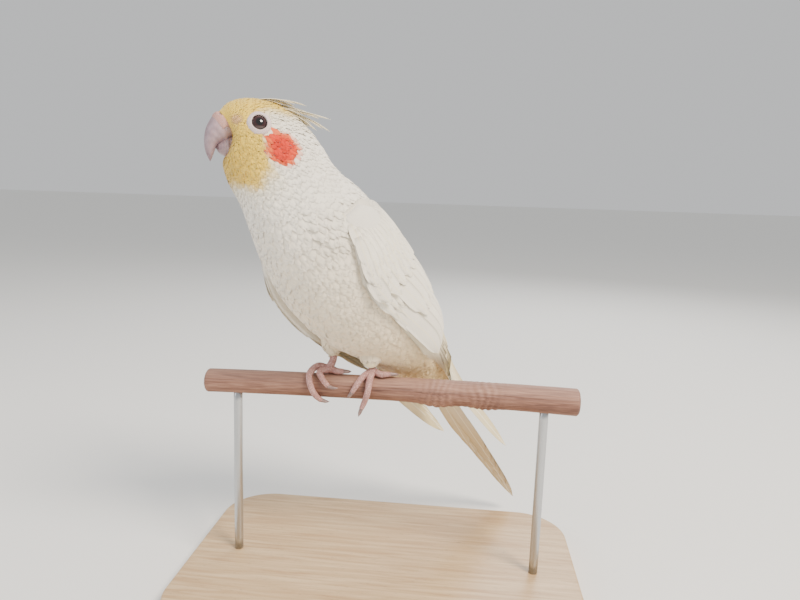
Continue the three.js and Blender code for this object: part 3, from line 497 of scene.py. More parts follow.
def layBody(name, low, high, nodes=(), shape="contour"):
    roots = clearOf(scatterBody(low, high), eyeSpots.values(), eye["clear"])
    at, angle = roots[:, 0], roots[:, 1]
    da, db = lengthRatios(bodySurface, at, angle)
    length = coatValue("length", at) * rng.uniform(0.85, 1.15, len(at))
    yawed = rng.normal(0, 0.06, len(at)) * length
    tips = np.stack([at - length / np.maximum(da, 1), angle + yawed / np.maximum(db, 0.05)], axis=-1)
    depth = coatDepth(at)
    onWing = (np.abs((angle + 180) % 360 - 180) < 112) * smooth(7.3, 7.7, at) * (1 - smooth(8.3, 9.1, at))
    tipLift = coatValue("tipLift", at) * rng.uniform(0.55, 1.0, len(at)) - 0.4 + 1.2 * onWing
    lifts = np.stack([-depth - 0.35, tipLift], axis=-1)
    widths = coatValue("widths", at) * rng.uniform(0.85, 1.15, len(at))
    rolls = rng.normal(0, 0.035, len(at))
    bends = rng.normal(0, 0.05, len(at)) * length / np.maximum(db, 0.05)
    made = plumes(bodySurface, roots, tips, lifts, widths, shape, thick=0.16, roll=rolls, camber=0.17,
        bend=bends)
    colour = bodyColour(*mix(roots, tips, 0.7).T) * rng.uniform(0.97, 1.02, (len(at), 1))
    colours = np.repeat(colour, made["each"], axis=0)
    place = np.repeat(np.stack([angle / 360, at / lastStation], axis=-1), made["each"], axis=0)
    bake = place + made["patch"].reshape(-1, 2)
    addPiece(name, toFrame(made["points"]), made["faces"], contourFeather, nodes, colours,
        {"OFBake": bake, "vane": made["vane"]}, made["rims"])
    print(name, len(at), "feathers", len(made["faces"]) * 2, "triangles")


layBody("coatRump", 2.15, 3.6)
layBody("coatBelly", 3.6, 5.8)
layBody("coatBreast", 5.8, 8.2)
layBody("coatNeck", 8.2, 10.4)
layBody("coatCheeks", 10.4, 12.2, shape="face")
layBody("coatFace", 12.2, 14.9, shape="face")

# wings: the folded wing lies on the body from the shoulder, leaves it at the rump and runs on straight
wing = {"front": 7.6, "leave": 2.9, "leaveShare": 0.58, "blend": 0.135, "tipWidth": 9, "core": 0.35,
    "coreThickness": 3.2, "coreRings": 22, "corePoints": 15,
    "tips": {1: (-96, 20, -45), -1: (-89, -26, -50)}, "loose": {1: 0.6, -1: 6.8}, "droop": {1: 0, -1: 28}}


def wingSheet(sign):
    tip = np.array(wing["tips"][sign], float)

    def onBody(s, across, lift):
        at = np.maximum(mix(wing["front"], wing["leave"], s / wing["leaveShare"]), 1.2)
        low = mix(108.0, 84.0, smooth(5.6, wing["front"], at)) + wing["droop"][sign]
        high = mix(mix(12.0, 56.0, smooth(6.4, wing["front"], at)), 40.0, 1 - smooth(2.6, 4, at))
        off = wing["loose"][sign] * (1 - across) ** 2 * (1 - 0.8 * smooth(6.6, wing["front"], at))
        return raised(at, sign * mix(low, high, across), lift + off)

    def leaving(across):
        return onBody(np.full_like(across, wing["leaveShare"]), across, np.zeros_like(across))

    edge = leaving(np.array([0.0, 1.0]))
    forward = tip - edge[0]
    out = unit(np.cross(edge[1] - edge[0], forward)) * sign
    inward = unit(np.cross(forward, out)) * sign

    def sheet(s, across, lift):
        s, across, lift = (np.asarray(v, float) for v in np.broadcast_arrays(s, across, lift))
        share = ((s - wing["leaveShare"]) / (1 - wing["leaveShare"]))[..., None]
        end = tip + inward * (wing["tipWidth"] * across)[..., None]
        straight = mix(leaving(across), end, share) + out * lift[..., None]
        blend = smooth(wing["leaveShare"] - wing["blend"], wing["leaveShare"] + wing["blend"], s)[..., None]
        return mix(onBody(s, across, lift), straight, blend)

    return sheet


# rows of the wing: number, root and tip along the wing, stretch across it, width, lifts at root and tip
wingRows = [
    {"count": 15, "rows": 9, "from": (0.0, 0.17), "long": 0.085, "across": (0.03, 0.97), "width": 5.6,
        "lifts": (2.6, 3.9), "shape": "covert"},
    {"count": 9, "rows": 1, "from": (0.155, 0.155), "long": 0.13, "across": (0.03, 0.97), "width": 8.2,
        "lifts": (2.2, 4.4), "shape": "covert"},
    {"count": 3, "rows": 2, "from": (0.15, 0.26), "long": 0.18, "across": (0.0, 0.17), "width": 5.4,
        "lifts": (1.2, 2.2), "shape": "covert"},
    {"count": 8, "rows": 1, "from": (0.2, 0.2), "long": 0.195, "across": (0.2, 0.97), "width": 9.2,
        "lifts": (2.0, 4.9), "shape": "covert"},
]
secondaries = {"count": 9, "from": 0.3, "tips": (0.52, 0.48), "across": (0.1, 0.96), "width": 10.0,
    "lifts": (1.2, 4.9)}
primaries = {"count": 9, "from": 0.33, "tips": (1.0, 0.7), "across": (0.03, 0.48), "width": 8.4,
    "lifts": (0.7, 4.4)}


def makeWing(sign):
    sheet = wingSheet(sign)
    groups = []
    for row in wingRows:
        for k in range(row["rows"]):
            share = k / max(row["rows"] - 1, 1)
            start = mix(row["from"][0], row["from"][1], share)
            across = mix(row["across"][0], row["across"][1],
                (np.arange(row["count"]) + 0.5 + 0.25 * (k % 2)) / row["count"])
            jitter = rng.uniform(-0.006, 0.006, row["count"])
            root = np.stack([np.full(row["count"], start), across], axis=-1)
            tip = np.stack([start + row["long"] + jitter, across + rng.normal(0, 0.008, row["count"])],
                axis=-1)
            full = smooth(0, 0.16, start + 0.03)
            lifts = [mix(0.6, row["lifts"][0], full), mix(1.6, row["lifts"][1], full)]
            groups.append((root, tip, np.tile(lifts, (row["count"], 1)),
                row["width"] * rng.uniform(0.92, 1.08, row["count"]), row["shape"], 0.14, "white"))
    for group, tone in ((secondaries, "white"), (primaries, "flight")):
        n = group["count"]
        share = np.arange(n) / (n - 1)
        across = mix(group["across"][0], group["across"][1], share)
        ends = mix(group["tips"][0], group["tips"][1], share ** 0.8) + rng.uniform(-0.005, 0.005, n)
        root = np.stack([np.full(n, group["from"]), across], axis=-1)
        tip = np.stack([ends, across * (0.9 if tone == "flight" else 1)], axis=-1)
        climb = group["lifts"][1] - group["lifts"][0]
        rise = group["lifts"][0] + (share * climb if tone == "flight" else climb)
        lifts = np.stack([group["lifts"][0] + 0.1 * np.arange(n), np.broadcast_to(rise, n)], axis=-1)
        groups.append((root, tip, lifts, np.full(n, float(group["width"])), "flight", 0.12, tone))
    for root, tip, lifts, width, shape, rolled, tone in groups:
        made = plumes(sheet, root, tip, lifts, width, shape, thick=0.35, roll=sign * rolled, camber=0.1)
        base = mix(linear["white"], linear["cream"], 0.12) if tone == "white" else linear["flight"]
        colour = np.tile(base, (len(root), 1)) * rng.uniform(0.94, 1.02, (len(root), 1))
        colours = np.repeat(colour, made["each"], axis=0)
        if tone == "flight":  # the tips are stained and paler at the base
            t = made["along"]
            colours = mix(mix(linear["white"], colours, 0.6), colours * np.array([0.97, 0.93, 0.84]),
                smooth(0.3, 0.95, t))
        place = np.repeat(np.stack([0.02 + 0.44 * root[:, 1] + (0.5 if sign < 0 else 0), root[:, 0]],
            axis=-1), made["each"], axis=0)
        yield made, colours, place + made["patch"].reshape(-1, 2)


def joinAndAdd(name, groups, material, nodes):
    points, faces, colours, bakes, vanes, rims, start = [], [], [], [], [], [], 0
    for made, colour, bake in groups:
        points.append(made["points"])
        faces.append(made["faces"] + start)
        start += len(made["points"])
        colours.append(colour)
        bakes.append(bake)
        vanes.append(made["vane"])
        rims.append(made["rims"])
    faces = np.concatenate(faces)
    uvs = {"OFBake": np.concatenate(bakes), "vane": np.concatenate(vanes)}
    addPiece(name, toFrame(np.concatenate(points)), faces, material, nodes,
        np.concatenate(colours), uvs, np.concatenate(rims))
    print(name, 2 * len(faces), "triangles")


def wingCore(sign, side):  # the arm under the coverts
    sheet = wingSheet(sign)
    rows, cols = wing["coreRings"], wing["corePoints"]
    rings = []
    for i in range(rows):
        s = 0.01 + (wing["core"] + 0.03) * i / (rows - 1)
        full = mix(0.5, 1, float(smooth(0, 0.12, s / wing["core"]))) \
            * mix(1, 0.45, float(smooth(0.5, 1.1, s / wing["core"])))
        across = np.linspace(0.01, 0.99, cols)
        bulge = np.sin(np.pi * mix(0.1, 0.92, across))
        outer = sheet(np.full(cols, s), across, 0.3 + (wing["coreThickness"] - 0.6) * full * bulge)
        inner = sheet(np.full(cols, s), across[::-1], np.full(cols, -0.9))
        rings.append(np.vstack([outer, inner]))
    points = withHubs(np.array(rings))
    tri = closedTube(rows, 2 * cols)
    colours = np.tile(linear["white"], (len(points), 1))
    bake = np.stack([np.linspace(0, 1, len(points)), np.full(len(points), 0.5)], axis=-1)
    addPiece("wingSkin" + side, toFrame(points), tri, skinMaterial, (), colours, {"OFBake": bake})


for sign, side in ((1, "Left"), (-1, "Right")):
    wingCore(sign, side)
    joinAndAdd("wingFeathers" + side, makeWing(sign), flightFeather, ["wing_" + side.lower()])

# tail: its own sheet runs from the vent down the tail
tail = {"start": (-57.6, 0, -4.8), "slope": 52.3, "yaw": -1.5, "pairs": 6, "longest": 106, "shortest": 56,
    "root": 3, "spread": 5.6, "width": 15, "step": 0.45, "rolledMore": -14}
tailTurn = Matrix.Translation(tail["start"]) @ Matrix.Rotation(-math.radians(tail["slope"]), 4, "Y") \
    @ Matrix.Rotation(math.radians(180 + tail["yaw"]), 4, "Z") \
    @ Matrix.Rotation(math.radians(bird["roll"] + tail["rolledMore"]), 4, "X")
tailMatrix = np.array(tailTurn)


def tailSheet(along, across, lift):
    p = np.stack(np.broadcast_arrays(np.asarray(along, float), -np.asarray(across, float),
        np.asarray(lift, float)), axis=-1)
    return p @ tailMatrix[:3, :3].T + tailMatrix[:3, 3]


def makeTail():
    for i in range(tail["pairs"]):
        share = i / (tail["pairs"] - 1)
        for side in (-1, 1):
            lift = -tail["step"] * (i + (0.45 if side > 0 else 0))
            root = np.array([[tail["root"], side * mix(0.8, 3.4, share)]])
            end = mix(tail["longest"], tail["shortest"], share ** 0.9) + rng.uniform(-1.5, 1.5)
            tip = np.array([[end, side * (0.8 + tail["spread"] * share)]])
            made = plumes(tailSheet, root, tip, [[lift, lift]], tail["width"], "flight", thick=0.42,
                camber=0.05, bend=rng.uniform(-0.6, 0.6))
            t = made["along"]
            base = linear["tail"] * rng.uniform(0.93, 1.04)
            colours = mix(mix(linear["white"], base, 0.7), base * np.array([0.97, 0.93, 0.86]),
                smooth(0.2, 0.9, t)) * np.ones((len(t), 3))
            place = np.array([0.3 + 0.03 * i + (0.2 if side > 0 else 0), 0.05]) + made["patch"].reshape(-1, 2)
            yield made, colours, place


joinAndAdd("tailFeathers", makeTail(), flightFeather, ["tail"])

# crest: narrow, up-curled feathers that lie back over the crown: root, tip, how far aside, arch
crest = [
    ((52, 131.6), (31, 131.2), (1.6, 3), 2.2),
    ((51, 131.6), (33, 131.4), (-1.8, -3.2), 2),
    ((48, 131.8), (25.5, 131), (0.3, 0.6), 2.4),
    ((44, 131.4), (19.5, 126.4), (-1.3, -2.6), 2.6),
    ((42, 131), (14.8, 125.9), (1.3, 1.8), 1),
    ((38, 129.8), (14.6, 120.8), (-0.2, 0.2), 2.2),
    ((36, 129), (21.5, 120.6), (2.3, 3.6), 1.6),
]


def crestSheet(feather, aside, shrink):
    root, tip, out, arch = feather
    start = np.array([root[0], out[0] + aside * 0.5, root[1] - 1.5])
    end = np.array([tip[0], out[1] + aside, tip[1]])
    end = start + (end - start) * shrink
    middle = (start + end) / 2 + np.array([0, 0, 1.75 * arch])

    def sheet(t, across, lift):
        t, across, lift = (np.asarray(v, float)[..., None] for v in np.broadcast_arrays(t, across, lift))
        path = (1 - t) ** 2 * start + 2 * t * (1 - t) * middle + t ** 2 * end
        ahead = unit(2 * (1 - t) * (middle - start) + 2 * t * (end - middle))
        side = unit(np.array([0, 1.0, 0]) - ahead * ahead[..., 1:2])
        return turnHead(path + side * across + np.cross(ahead, side) * -lift)

    return sheet


def makeCrest():
    for feather in crest:
        for k in range(6):
            aside, shrink = (0, 1.0) if k == 0 else (rng.uniform(-1.6, 1.6), rng.uniform(0.4, 0.9))
            sheet = crestSheet(feather, aside, shrink)
            made = plumes(sheet, np.array([[0.0, 0.0]]), np.array([[1.0, 0.0]]), [[-0.12 * k, -0.12 * k]],
                3.0 if k == 0 else 2.4, "flight", thick=0.3, camber=0.15)
            pale = mix(linear["cream"], linear["white"], rng.uniform(0.1, 0.5))
            colours = mix(mix(linear["yellow"], linear["cream"], 0.4), pale, smooth(0.1, 0.5, made["along"]))
            yield made, colours, np.array([0.98, 0.8]) + made["patch"].reshape(-1, 2)


joinAndAdd("crestFeathers", makeCrest(), flightFeather, [])

# bill: horn sections from root to tip, upper and lower edge and half the width
upperBill = [((59, 125.3), (51.8, 116.6), 5.6), ((63.6, 125.4), (56.4, 115.8), 6),
    ((66.1, 122.3), (58.8, 114.2), 6), ((67.7, 118.9), (61.1, 113.2), 5.4),
    ((68.4, 115.5), (63.1, 112.1), 4.4), ((68.4, 111.7), (64.2, 109.8), 3.2),
    ((67.7, 108.5), (65.1, 107.3), 1.8), ((66.3, 105.5), (66.1, 105.2), 0.15)]
lowerBill = [((52.8, 117.5), (54.7, 106.6), 5), ((58.1, 116.6), (58.4, 107.1), 5.1),
    ((61.1, 114.8), (60.7, 108), 4.4), ((63, 112.8), (62.6, 109.2), 3), ((63.7, 110.9), (63.5, 110.6), 0.4)]


def horn(name, sections, material, node, rings=60, sides=48, ridge=0.0):
    t = np.linspace(0, 1, rings)
    high = through([(s[0][0], 0, s[0][1]) for s in sections], t)
    low = through([(s[1][0], 0, s[1][1]) for s in sections], t)
    half = np.maximum(through([(s[2], i, 0) for i, s in enumerate(sections)], t)[:, 0], 0.08)
    a = np.linspace(0, 2 * np.pi, sides, endpoint=False)
    cos, sin = np.cos(a), np.sin(a)
    square = np.abs(sin) ** 0.85 * np.sign(sin)
    points = ((high + low) / 2)[:, None] + ((high - low) / 2)[:, None] * cos[None, :, None]
    points[..., 1] = half[:, None] * square[None] * (1 + ridge * np.maximum(cos, 0)[None] ** 4 * -1)
    growth = 0.06 * np.sin(t * 46 + 0.6 * np.cos(a * 3)[:, None]).T  # faint growth lines
    points[..., 1] *= 1 + growth * 0.35
    points = turnHead(points)
    return addPiece(name, toFrame(withHubs(points)), closedTube(rings, sides)[:, ::-1], material,
        [node])


# bill keratin: grown in layers and worn smooth, a satin mauve grey with faint lengthwise streaks
billHorn, tree, shader = newMaterial("billKeratin", Roughness=0.42, IOR=1.54, Subsurface_Weight=0.08,
    Coat_Weight=0.08, Coat_Roughness=0.3)
shader.inputs["Subsurface Radius"].default_value = (0.002, 0.001, 0.0008)
place = addNode(tree, "ShaderNodeTexCoord")
stretch = addNode(tree, "ShaderNodeMapping", Vector=place.outputs["Object"], Scale=(1.0, 1.0, 0.25))
streaks = addNode(tree, "ShaderNodeTexNoise", Vector=stretch.outputs[0], Scale=900.0, Detail=4.0)
cloud = addNode(tree, "ShaderNodeTexNoise", Vector=place.outputs["Object"], Scale=170.0, Detail=3.0)
ramp = addNode(tree, "ShaderNodeValToRGB", {"stops": ((0.35, "#8E747C"), (0.68, "#B39AA0"))},
    Fac=cloud.outputs["Fac"])
flakes = addNode(tree, "ShaderNodeMapRange", Value=streaks.outputs["Fac"], From_Min=0.35, From_Max=0.7,
    To_Min=0.86, To_Max=1.06)
scaled = addNode(tree, "ShaderNodeVectorMath", {"operation": "SCALE"}, i0=ramp.outputs["Color"],
    Scale=flakes.outputs[0])
finishSurface(tree, shader, scaled.outputs[0], streaks.outputs["Fac"], 0.25, 0.08)
horn("billUpper", upperBill, billHorn, "bill_upper", ridge=0.12)
horn("billLower", lowerBill, billHorn, "bill_lower")


# bare pink skin: pebbled with fine scales, a little light passes through it
def bareSkin(name, pale, dark, scaleSize, depth):
    material, tree, shader = newMaterial(name, Roughness=0.6, IOR=1.42, Subsurface_Weight=0.12)
    shader.inputs["Subsurface Radius"].default_value = (0.002, 0.0009, 0.0006)
    place = addNode(tree, "ShaderNodeTexCoord")
    cells = addNode(tree, "ShaderNodeTexVoronoi", {"feature": "DISTANCE_TO_EDGE"},
        Vector=place.outputs["Object"], Scale=1 / (scaleSize * mm))
    edge = addNode(tree, "ShaderNodeMapRange", Value=cells.outputs["Distance"], From_Min=0.0, From_Max=0.22)
    cloud = addNode(tree, "ShaderNodeTexNoise", Vector=place.outputs["Object"], Scale=260.0, Detail=4.0)
    tone = addNode(tree, "ShaderNodeMath", {"operation": "MULTIPLY"}, i0=edge.outputs[0],
        i1=cloud.outputs["Fac"])
    ramp = addNode(tree, "ShaderNodeValToRGB", {"stops": ((0.05, dark), (0.6, pale))}, Fac=tone.outputs[0])
    finishSurface(tree, shader, ramp.outputs["Color"], edge.outputs[0], 0.5, depth)
    return material


footSkin = bareSkin("footScales", "#CDA49C", "#A2756F", 0.9, 0.2)
cereSkin = bareSkin("cereSkin", "#CFA79C", "#B98A80", 0.5, 0.08)
lidSkin = bareSkin("lidSkin", "#EDDFDC", "#D3BBB8", 0.45, 0.08)

# cere: a low fleshy saddle over the bill's root, with a nostril on each side
cere = {"to": 0.24, "halfTurn": 1.75, "swell": 0.085, "sunk": 0.02, "inside": 0.6, "rim": 0.09, "pit": 0.34,
    "nostril": (0.1, 0.62)}


def makeCere():
    rings, sides = 26, 40
    t = np.linspace(0.0, cere["to"], rings)
    high = through([(s[0][0], 0, s[0][1]) for s in upperBill], t)
    low = through([(s[1][0], 0, s[1][1]) for s in upperBill], t)
    half = through([(s[2], i, 0) for i, s in enumerate(upperBill)], t)[:, 0]
    a = np.linspace(-cere["halfTurn"], cere["halfTurn"], sides)
    ease = np.sin(np.pi * np.clip((t - t[0]) / (t[-1] - t[0]), 0, 1)) ** 0.6
    grown = 1 + cere["swell"] * ease[:, None] * np.ones(sides)[None] - cere["sunk"]
    lengthwise, around = t[:, None] - cere["nostril"][0], np.abs(a)[None] - cere["nostril"][1]
    pit = np.exp(-(lengthwise / 0.03) ** 2 - (around / 0.16) ** 2)
    rim = np.exp(-(lengthwise / 0.055) ** 2 - (around / 0.3) ** 2)
    grown = grown + cere["rim"] * rim - cere["pit"] * pit
    mid = ((high + low) / 2)[:, None]
    points = mid + ((high - low) / 2)[:, None] * (np.cos(a)[None] * grown)[..., None]
    points[..., 1] = half[:, None] * np.sin(a)[None] * grown
    inner = mid + ((high - low) / 2)[:, None] * (np.cos(a)[None] * cere["inside"])[..., None]
    inner[..., 1] = half[:, None] * np.sin(a)[None] * cere["inside"]
    both = turnHead(np.concatenate([points, inner[:, ::-1]], axis=1))
    addPiece("cere", toFrame(withHubs(both)), closedTube(rings, 2 * sides), cereSkin)


makeCere()
print("bill and cere")

# eyes: a wet cornea over a dark red-brown iris and a black pupil
eyeWet, tree, shader = newMaterial("wetEye", Roughness=0.05, IOR=1.38, Coat_Weight=1.0, Coat_Roughness=0.02)
plume = addNode(tree, "ShaderNodeVertexColor", {"layer_name": "plume"})
split = addNode(tree, "ShaderNodeSeparateColor", Color=plume.outputs["Color"])
fibres = addNode(tree, "ShaderNodeTexNoise", Scale=2600.0, Detail=3.0)
shifted = addNode(tree, "ShaderNodeMath", {"operation": "MULTIPLY_ADD"}, i0=fibres.outputs["Fac"], i1=0.1,
    i2=split.outputs[0])
ramp = addNode(tree, "ShaderNodeValToRGB",
    {"stops": ((0.0, "#050304"), (0.5, "#080405"), (0.58, "#2A0D0E"), (0.8, "#351314"),
        (0.9, "#120709"), (1.0, "#1C0F10"))}, Fac=shifted.outputs[0])
tree.links.new(ramp.outputs["Color"], shader.inputs["Base Color"])


def eyeFrame(sign):
    zero = np.zeros(1)
    at, angle = np.array([float(eye["at"])]), np.array([sign * float(eye["angle"])])
    place = raised(at, angle, zero - eye["sunk"])[0]
    out = unit(raised(at, angle, zero + 1) - raised(at, angle, zero))[0]
    side = unit(np.cross(np.array([0, 0, 1.0]), out))
    return place, side, np.cross(out, side), out


def lathe(sign, profile, rings=48, wobble=0.0):  # radius and height pairs turned about the eye's axis
    place, side, up, out = eyeFrame(sign)
    a = np.linspace(0, 2 * np.pi, rings, endpoint=False)
    points = []
    for radius, height in profile:
        r = radius * (1 + wobble * np.sin(a * 5 + radius) * 0.5)
        points.append(place + np.outer(r * np.cos(a), side) + np.outer(r * np.sin(a), up) + height * out)
    return np.vstack(points), gridFaces(len(profile), rings), rings


for sign, side in ((1, "Left"), (-1, "Right")):
    centre = -math.sqrt(eye["ball"] ** 2 - eye["open"] ** 2)
    polar = np.linspace(0.02, 1.5, 30)
    profile = [(eye["ball"] * math.sin(p), centre + eye["ball"] * math.cos(p)) for p in polar]
    points, faces, rings = lathe(sign, profile)
    share = np.repeat(np.clip(np.sin(polar) * eye["ball"] / eye["open"], 0, 1), rings)
    colours = np.repeat(np.r_[share, 0, 1][:, None], 3, axis=1)
    addPiece("eye" + side, toFrame(withHubs(points.reshape(len(profile), rings, 3))),
        closedTube(len(profile), rings)[:, ::-1], eyeWet, ["eye_" + side.lower()], colours)
    # lids: a soft ring of bare skin with fine creases, open on the eyeball
    ring = [(3.1, 0.28), (3.2, 0.6), (3.4, 0.78), (3.75, 0.74), (4.1, 0.5), (4.5, 0.22), (4.85, -0.25),
        (5.1, -1.2), (3.7, -1.6), (3.15, -0.5)]
    dense = through([(r, h, 0) for r, h in ring + ring[:1]], np.linspace(0, 1, 44))[:-1]
    points, faces, rings = lathe(sign, [(r, h) for r, h, _ in dense], rings=64, wobble=0.02)
    last = len(dense) - 1
    closing = np.array([[last * rings + k, last * rings + (k + 1) % rings, (k + 1) % rings, k]
        for k in range(rings)])
    addPiece("lids" + side, toFrame(points), np.vstack([faces, closing])[:, ::-1], lidSkin)
print("eyes")

# branch: a peeled stick with fine lengthwise grain and two knots: place, height, reach, facing
branch = {"length": 184, "radius": 5.9, "height": 100, "bow": 1.2, "thicker": 0.7,
    "knots": ((24, 1.5, 8, 150), (47, 0.9, 7, 165)), "wrinkle": 0.28, "cutEdge": 1.2, "sunk": 0.1,
    "rings": 420, "sides": 110}


def branchRadius(along, angle):
    radius = branch["radius"] + branch["thicker"] * smooth(0, branch["length"] / 2, along)
    for place, out, reach, facing in branch["knots"]:
        near = np.exp(-((along - place) / reach) ** 2)
        radius = radius + out * near * (0.5 + 0.5 * np.cos(np.radians(angle - facing)))
    return radius


def roundBranch(along, angle, distance):
    along, angle, distance = np.broadcast_arrays(*(np.asarray(v, float) for v in (along, angle, distance)))
    drop = branch["bow"] * (2 * along / branch["length"]) ** 2
    a = np.radians(angle)
    return np.stack([along, -distance * np.sin(a), branch["height"] - drop + distance * np.cos(a)], axis=-1)


def makeBranch():
    ends = branch["cutEdge"]
    half = branch["length"] / 2
    along = np.r_[np.linspace(-half, -half + ends, 6),
        np.linspace(-half + ends, half - ends, branch["rings"])[1:-1], np.linspace(half - ends, half, 6)]
    less = np.clip(ends - (half - np.abs(along)), 0, ends) ** 2 / ends
    angle = np.linspace(0, 360, branch["sides"], endpoint=False)
    x, turn = np.meshgrid(along, angle, indexing="ij")
    grain = 0.06 * np.sin(np.radians(turn * 23) + 1.5 * np.sin(x / 17)) \
        + 0.05 * np.sin(np.radians(turn * 41) + 2 * np.sin(x / 9 + 1))
    ripple = 0
    for place, _, reach, facing in branch["knots"]:  # wrinkled bark round each knot
        near = np.exp(-((x - place) / (reach * 1.1)) ** 2) \
            * (0.35 + 0.65 * (0.5 + 0.5 * np.cos(np.radians(turn - facing))))
        waves = np.sin(x * 1.9 + 2.2 * np.sin(np.radians(turn * 2) + x / 6))
        ripple = ripple + near * branch["wrinkle"] * waves
    radius = branchRadius(x, turn) - less[:, None] + grain - branch["sunk"] + ripple
    points = roundBranch(x, turn, radius).reshape(-1, 3)
    rows, cols = len(along), branch["sides"]
    centres = roundBranch([along[0] + 0.05, along[-1] - 0.05], [0, 0], [0, 0])
    addPiece("branchWood", np.vstack([points, centres]), closedTube(rows, cols)[:, ::-1], branchWood,
        ["branch"])


# peeled hazel-like stick: reddish brown, paler and greyer where its surface faces up
branchWood, tree, shader = newMaterial("peeledStick", Roughness=0.62, IOR=1.5)
place = addNode(tree, "ShaderNodeTexCoord")
stretch = addNode(tree, "ShaderNodeMapping", Vector=place.outputs["Object"], Scale=(0.07, 1.0, 1.0))
# 0.7 mm grain, 10 mm long
grain = addNode(tree, "ShaderNodeTexNoise", Vector=stretch.outputs[0], Scale=1500.0, Detail=6.0)
broad = addNode(tree, "ShaderNodeTexNoise", Vector=stretch.outputs[0], Scale=260.0, Detail=4.0)
mixed = addNode(tree, "ShaderNodeMath", {"operation": "MULTIPLY_ADD"}, i0=grain.outputs["Fac"], i1=0.55,
    i2=0.0)
summed = addNode(tree, "ShaderNodeMath", {"operation": "MULTIPLY_ADD"}, i0=broad.outputs["Fac"], i1=0.5,
    i2=mixed.outputs[0])
ramp = addNode(tree, "ShaderNodeValToRGB",
    {"stops": ((0.3, "#4A2F27"), (0.46, "#7A5446"), (0.6, "#966D5A"), (0.78, "#B8907B"))},
    Fac=summed.outputs[0])
# the upward-facing side is mixed towards a paler grey
facing = addNode(tree, "ShaderNodeNewGeometry")
topward = addNode(tree, "ShaderNodeSeparateXYZ", Vector=facing.outputs["Normal"])
upFacingPale = addNode(tree, "ShaderNodeMapRange", Value=topward.outputs["Z"], From_Min=0.1, From_Max=1.0,
    To_Min=0.0, To_Max=0.32)
paleTopMix = addNode(tree, "ShaderNodeMix", {"data_type": "RGBA"}, i0=upFacingPale.outputs[0], i6=ramp.outputs["Color"],
    i7=(*hexColour("#C4A391"), 1))
finishSurface(tree, shader, paleTopMix.outputs[2], summed.outputs[0], 0.5, 0.25)
makeBranch()
print("branch")

# legs: scaled toes round the branch. Paths are along the branch, round it and off its axis
legs = {
    "left": {"hip": (-8.8, 0, 20), "knee": (-8.6, -1.5, 13.8), "ankle": (-8.3, 0.2, 10.4),
        "pad": (-8, 6, 8.4), "toes": [
        ([(-8, 8, 8.3), (-8.5, 45, 7.9), (-9, 88, 7.9), (-10.6, 128, 8.6), (-12, 143, 11)],
            (-13.4, 152, 14.6)),
        ([(-9, 8, 8.3), (-12, 36, 7.9), (-14.4, 66, 7.9), (-16.6, 94, 7.9)], (-18.9, 117, 8.2)),
        ([(-7, 2, 8.3), (-3.3, 16, 7.9), (1, 12, 7.9)], (5, 5, 7.6)),
        ([(-8, -6, 8.3), (-6.6, -40, 7.9), (-5.4, -75, 7.9), (-4.6, -105, 7.9)], (-4.2, -130, 8))]},
    "right": {"hip": (-29.5, 6, 27), "knee": (-28.3, 2.4, 18), "ankle": (-27.7, 0.8, 13.6),
        "pad": (-29.5, 4, 8.6), "toes": [
        ([(-30, 0, 8.6), (-35, 4, 9.8), (-38.3, 32, 8.2), (-37.4, 72, 7.9), (-35, 112, 7.9), (-32.5, 142, 8)],
            (-28.4, 150, 8.2)),
        ([(-30.5, 6, 8.4), (-33.6, 22, 8.2), (-31.6, 52, 7.9), (-28.4, 78, 7.9)], (-23.6, 82, 7.9)),
        ([(-28.6, -2, 8.3), (-25.6, 8, 7.9), (-22, 10, 7.9)], (-18.4, 5, 7.7)),
        ([(-29.5, -8, 8.3), (-29, -42, 7.9), (-29.4, -76, 7.9), (-30.2, -105, 7.9)], (-31, -128, 8))]},
}
toeRadius = 1.55


def onBranch(p):
    return roundBranch(*p)


def overBranch(p):
    return np.array([p[0], p[1], branch["height"] + p[2]], float)


# a tube along points, with scutes: raised plates one after another along its outer side
def scaledTube(path, radii, steps, sides=26, scute=None, axis=(0.0, 0.0, 1.0), away=None):
    path = np.array(path, float)
    t = np.linspace(0, 1, steps)
    line = through(path, t)
    ahead = unit(np.gradient(line, axis=0))
    radius = through([(r, i, 0) for i, r in enumerate(radii)], t)[:, 0]
    length = np.r_[0, np.cumsum(np.linalg.norm(np.diff(line, axis=0), axis=1))]
    outward = np.array([axis] * steps, float) if away is None else unit(line - away(line))
    side = unit(np.cross(ahead, outward))
    up = np.cross(side, ahead)
    a = np.linspace(0, 2 * np.pi, sides, endpoint=False)
    r = radius[:, None] * np.ones(sides)[None]
    if scute:
        saw = (length / scute) % 1
        outer = np.clip(np.cos(a), 0, 1) ** 0.5
        r = r * (1 + 0.09 * (np.sin(np.pi * saw) ** 0.5 - 0.6)[:, None] * outer[None])
        pads = 0.1 * (0.5 + 0.5 * np.cos(2 * np.pi * length / 4.6))[:, None] * np.clip(-np.cos(a), 0, 1)[None]
        r = r * (1 + pads)
    points = line[:, None] + side[:, None] * (r * np.sin(a))[..., None] \
        + up[:, None] * (r * np.cos(a))[..., None]
    flatPoints = np.vstack([points.reshape(-1, 3), line[0][None], line[-1][None]])
    return flatPoints, closedTube(steps, sides)[:, ::-1]


def joined(parts):
    start, points, faces = 0, [], []
    for p, f in parts:
        points.append(p)
        faces.append(f + start)
        start += len(p)
    return np.vstack(points), np.vstack(faces)


def branchCentre(line):
    return roundBranch(line[:, 0], np.zeros(len(line)), np.zeros(len(line)))


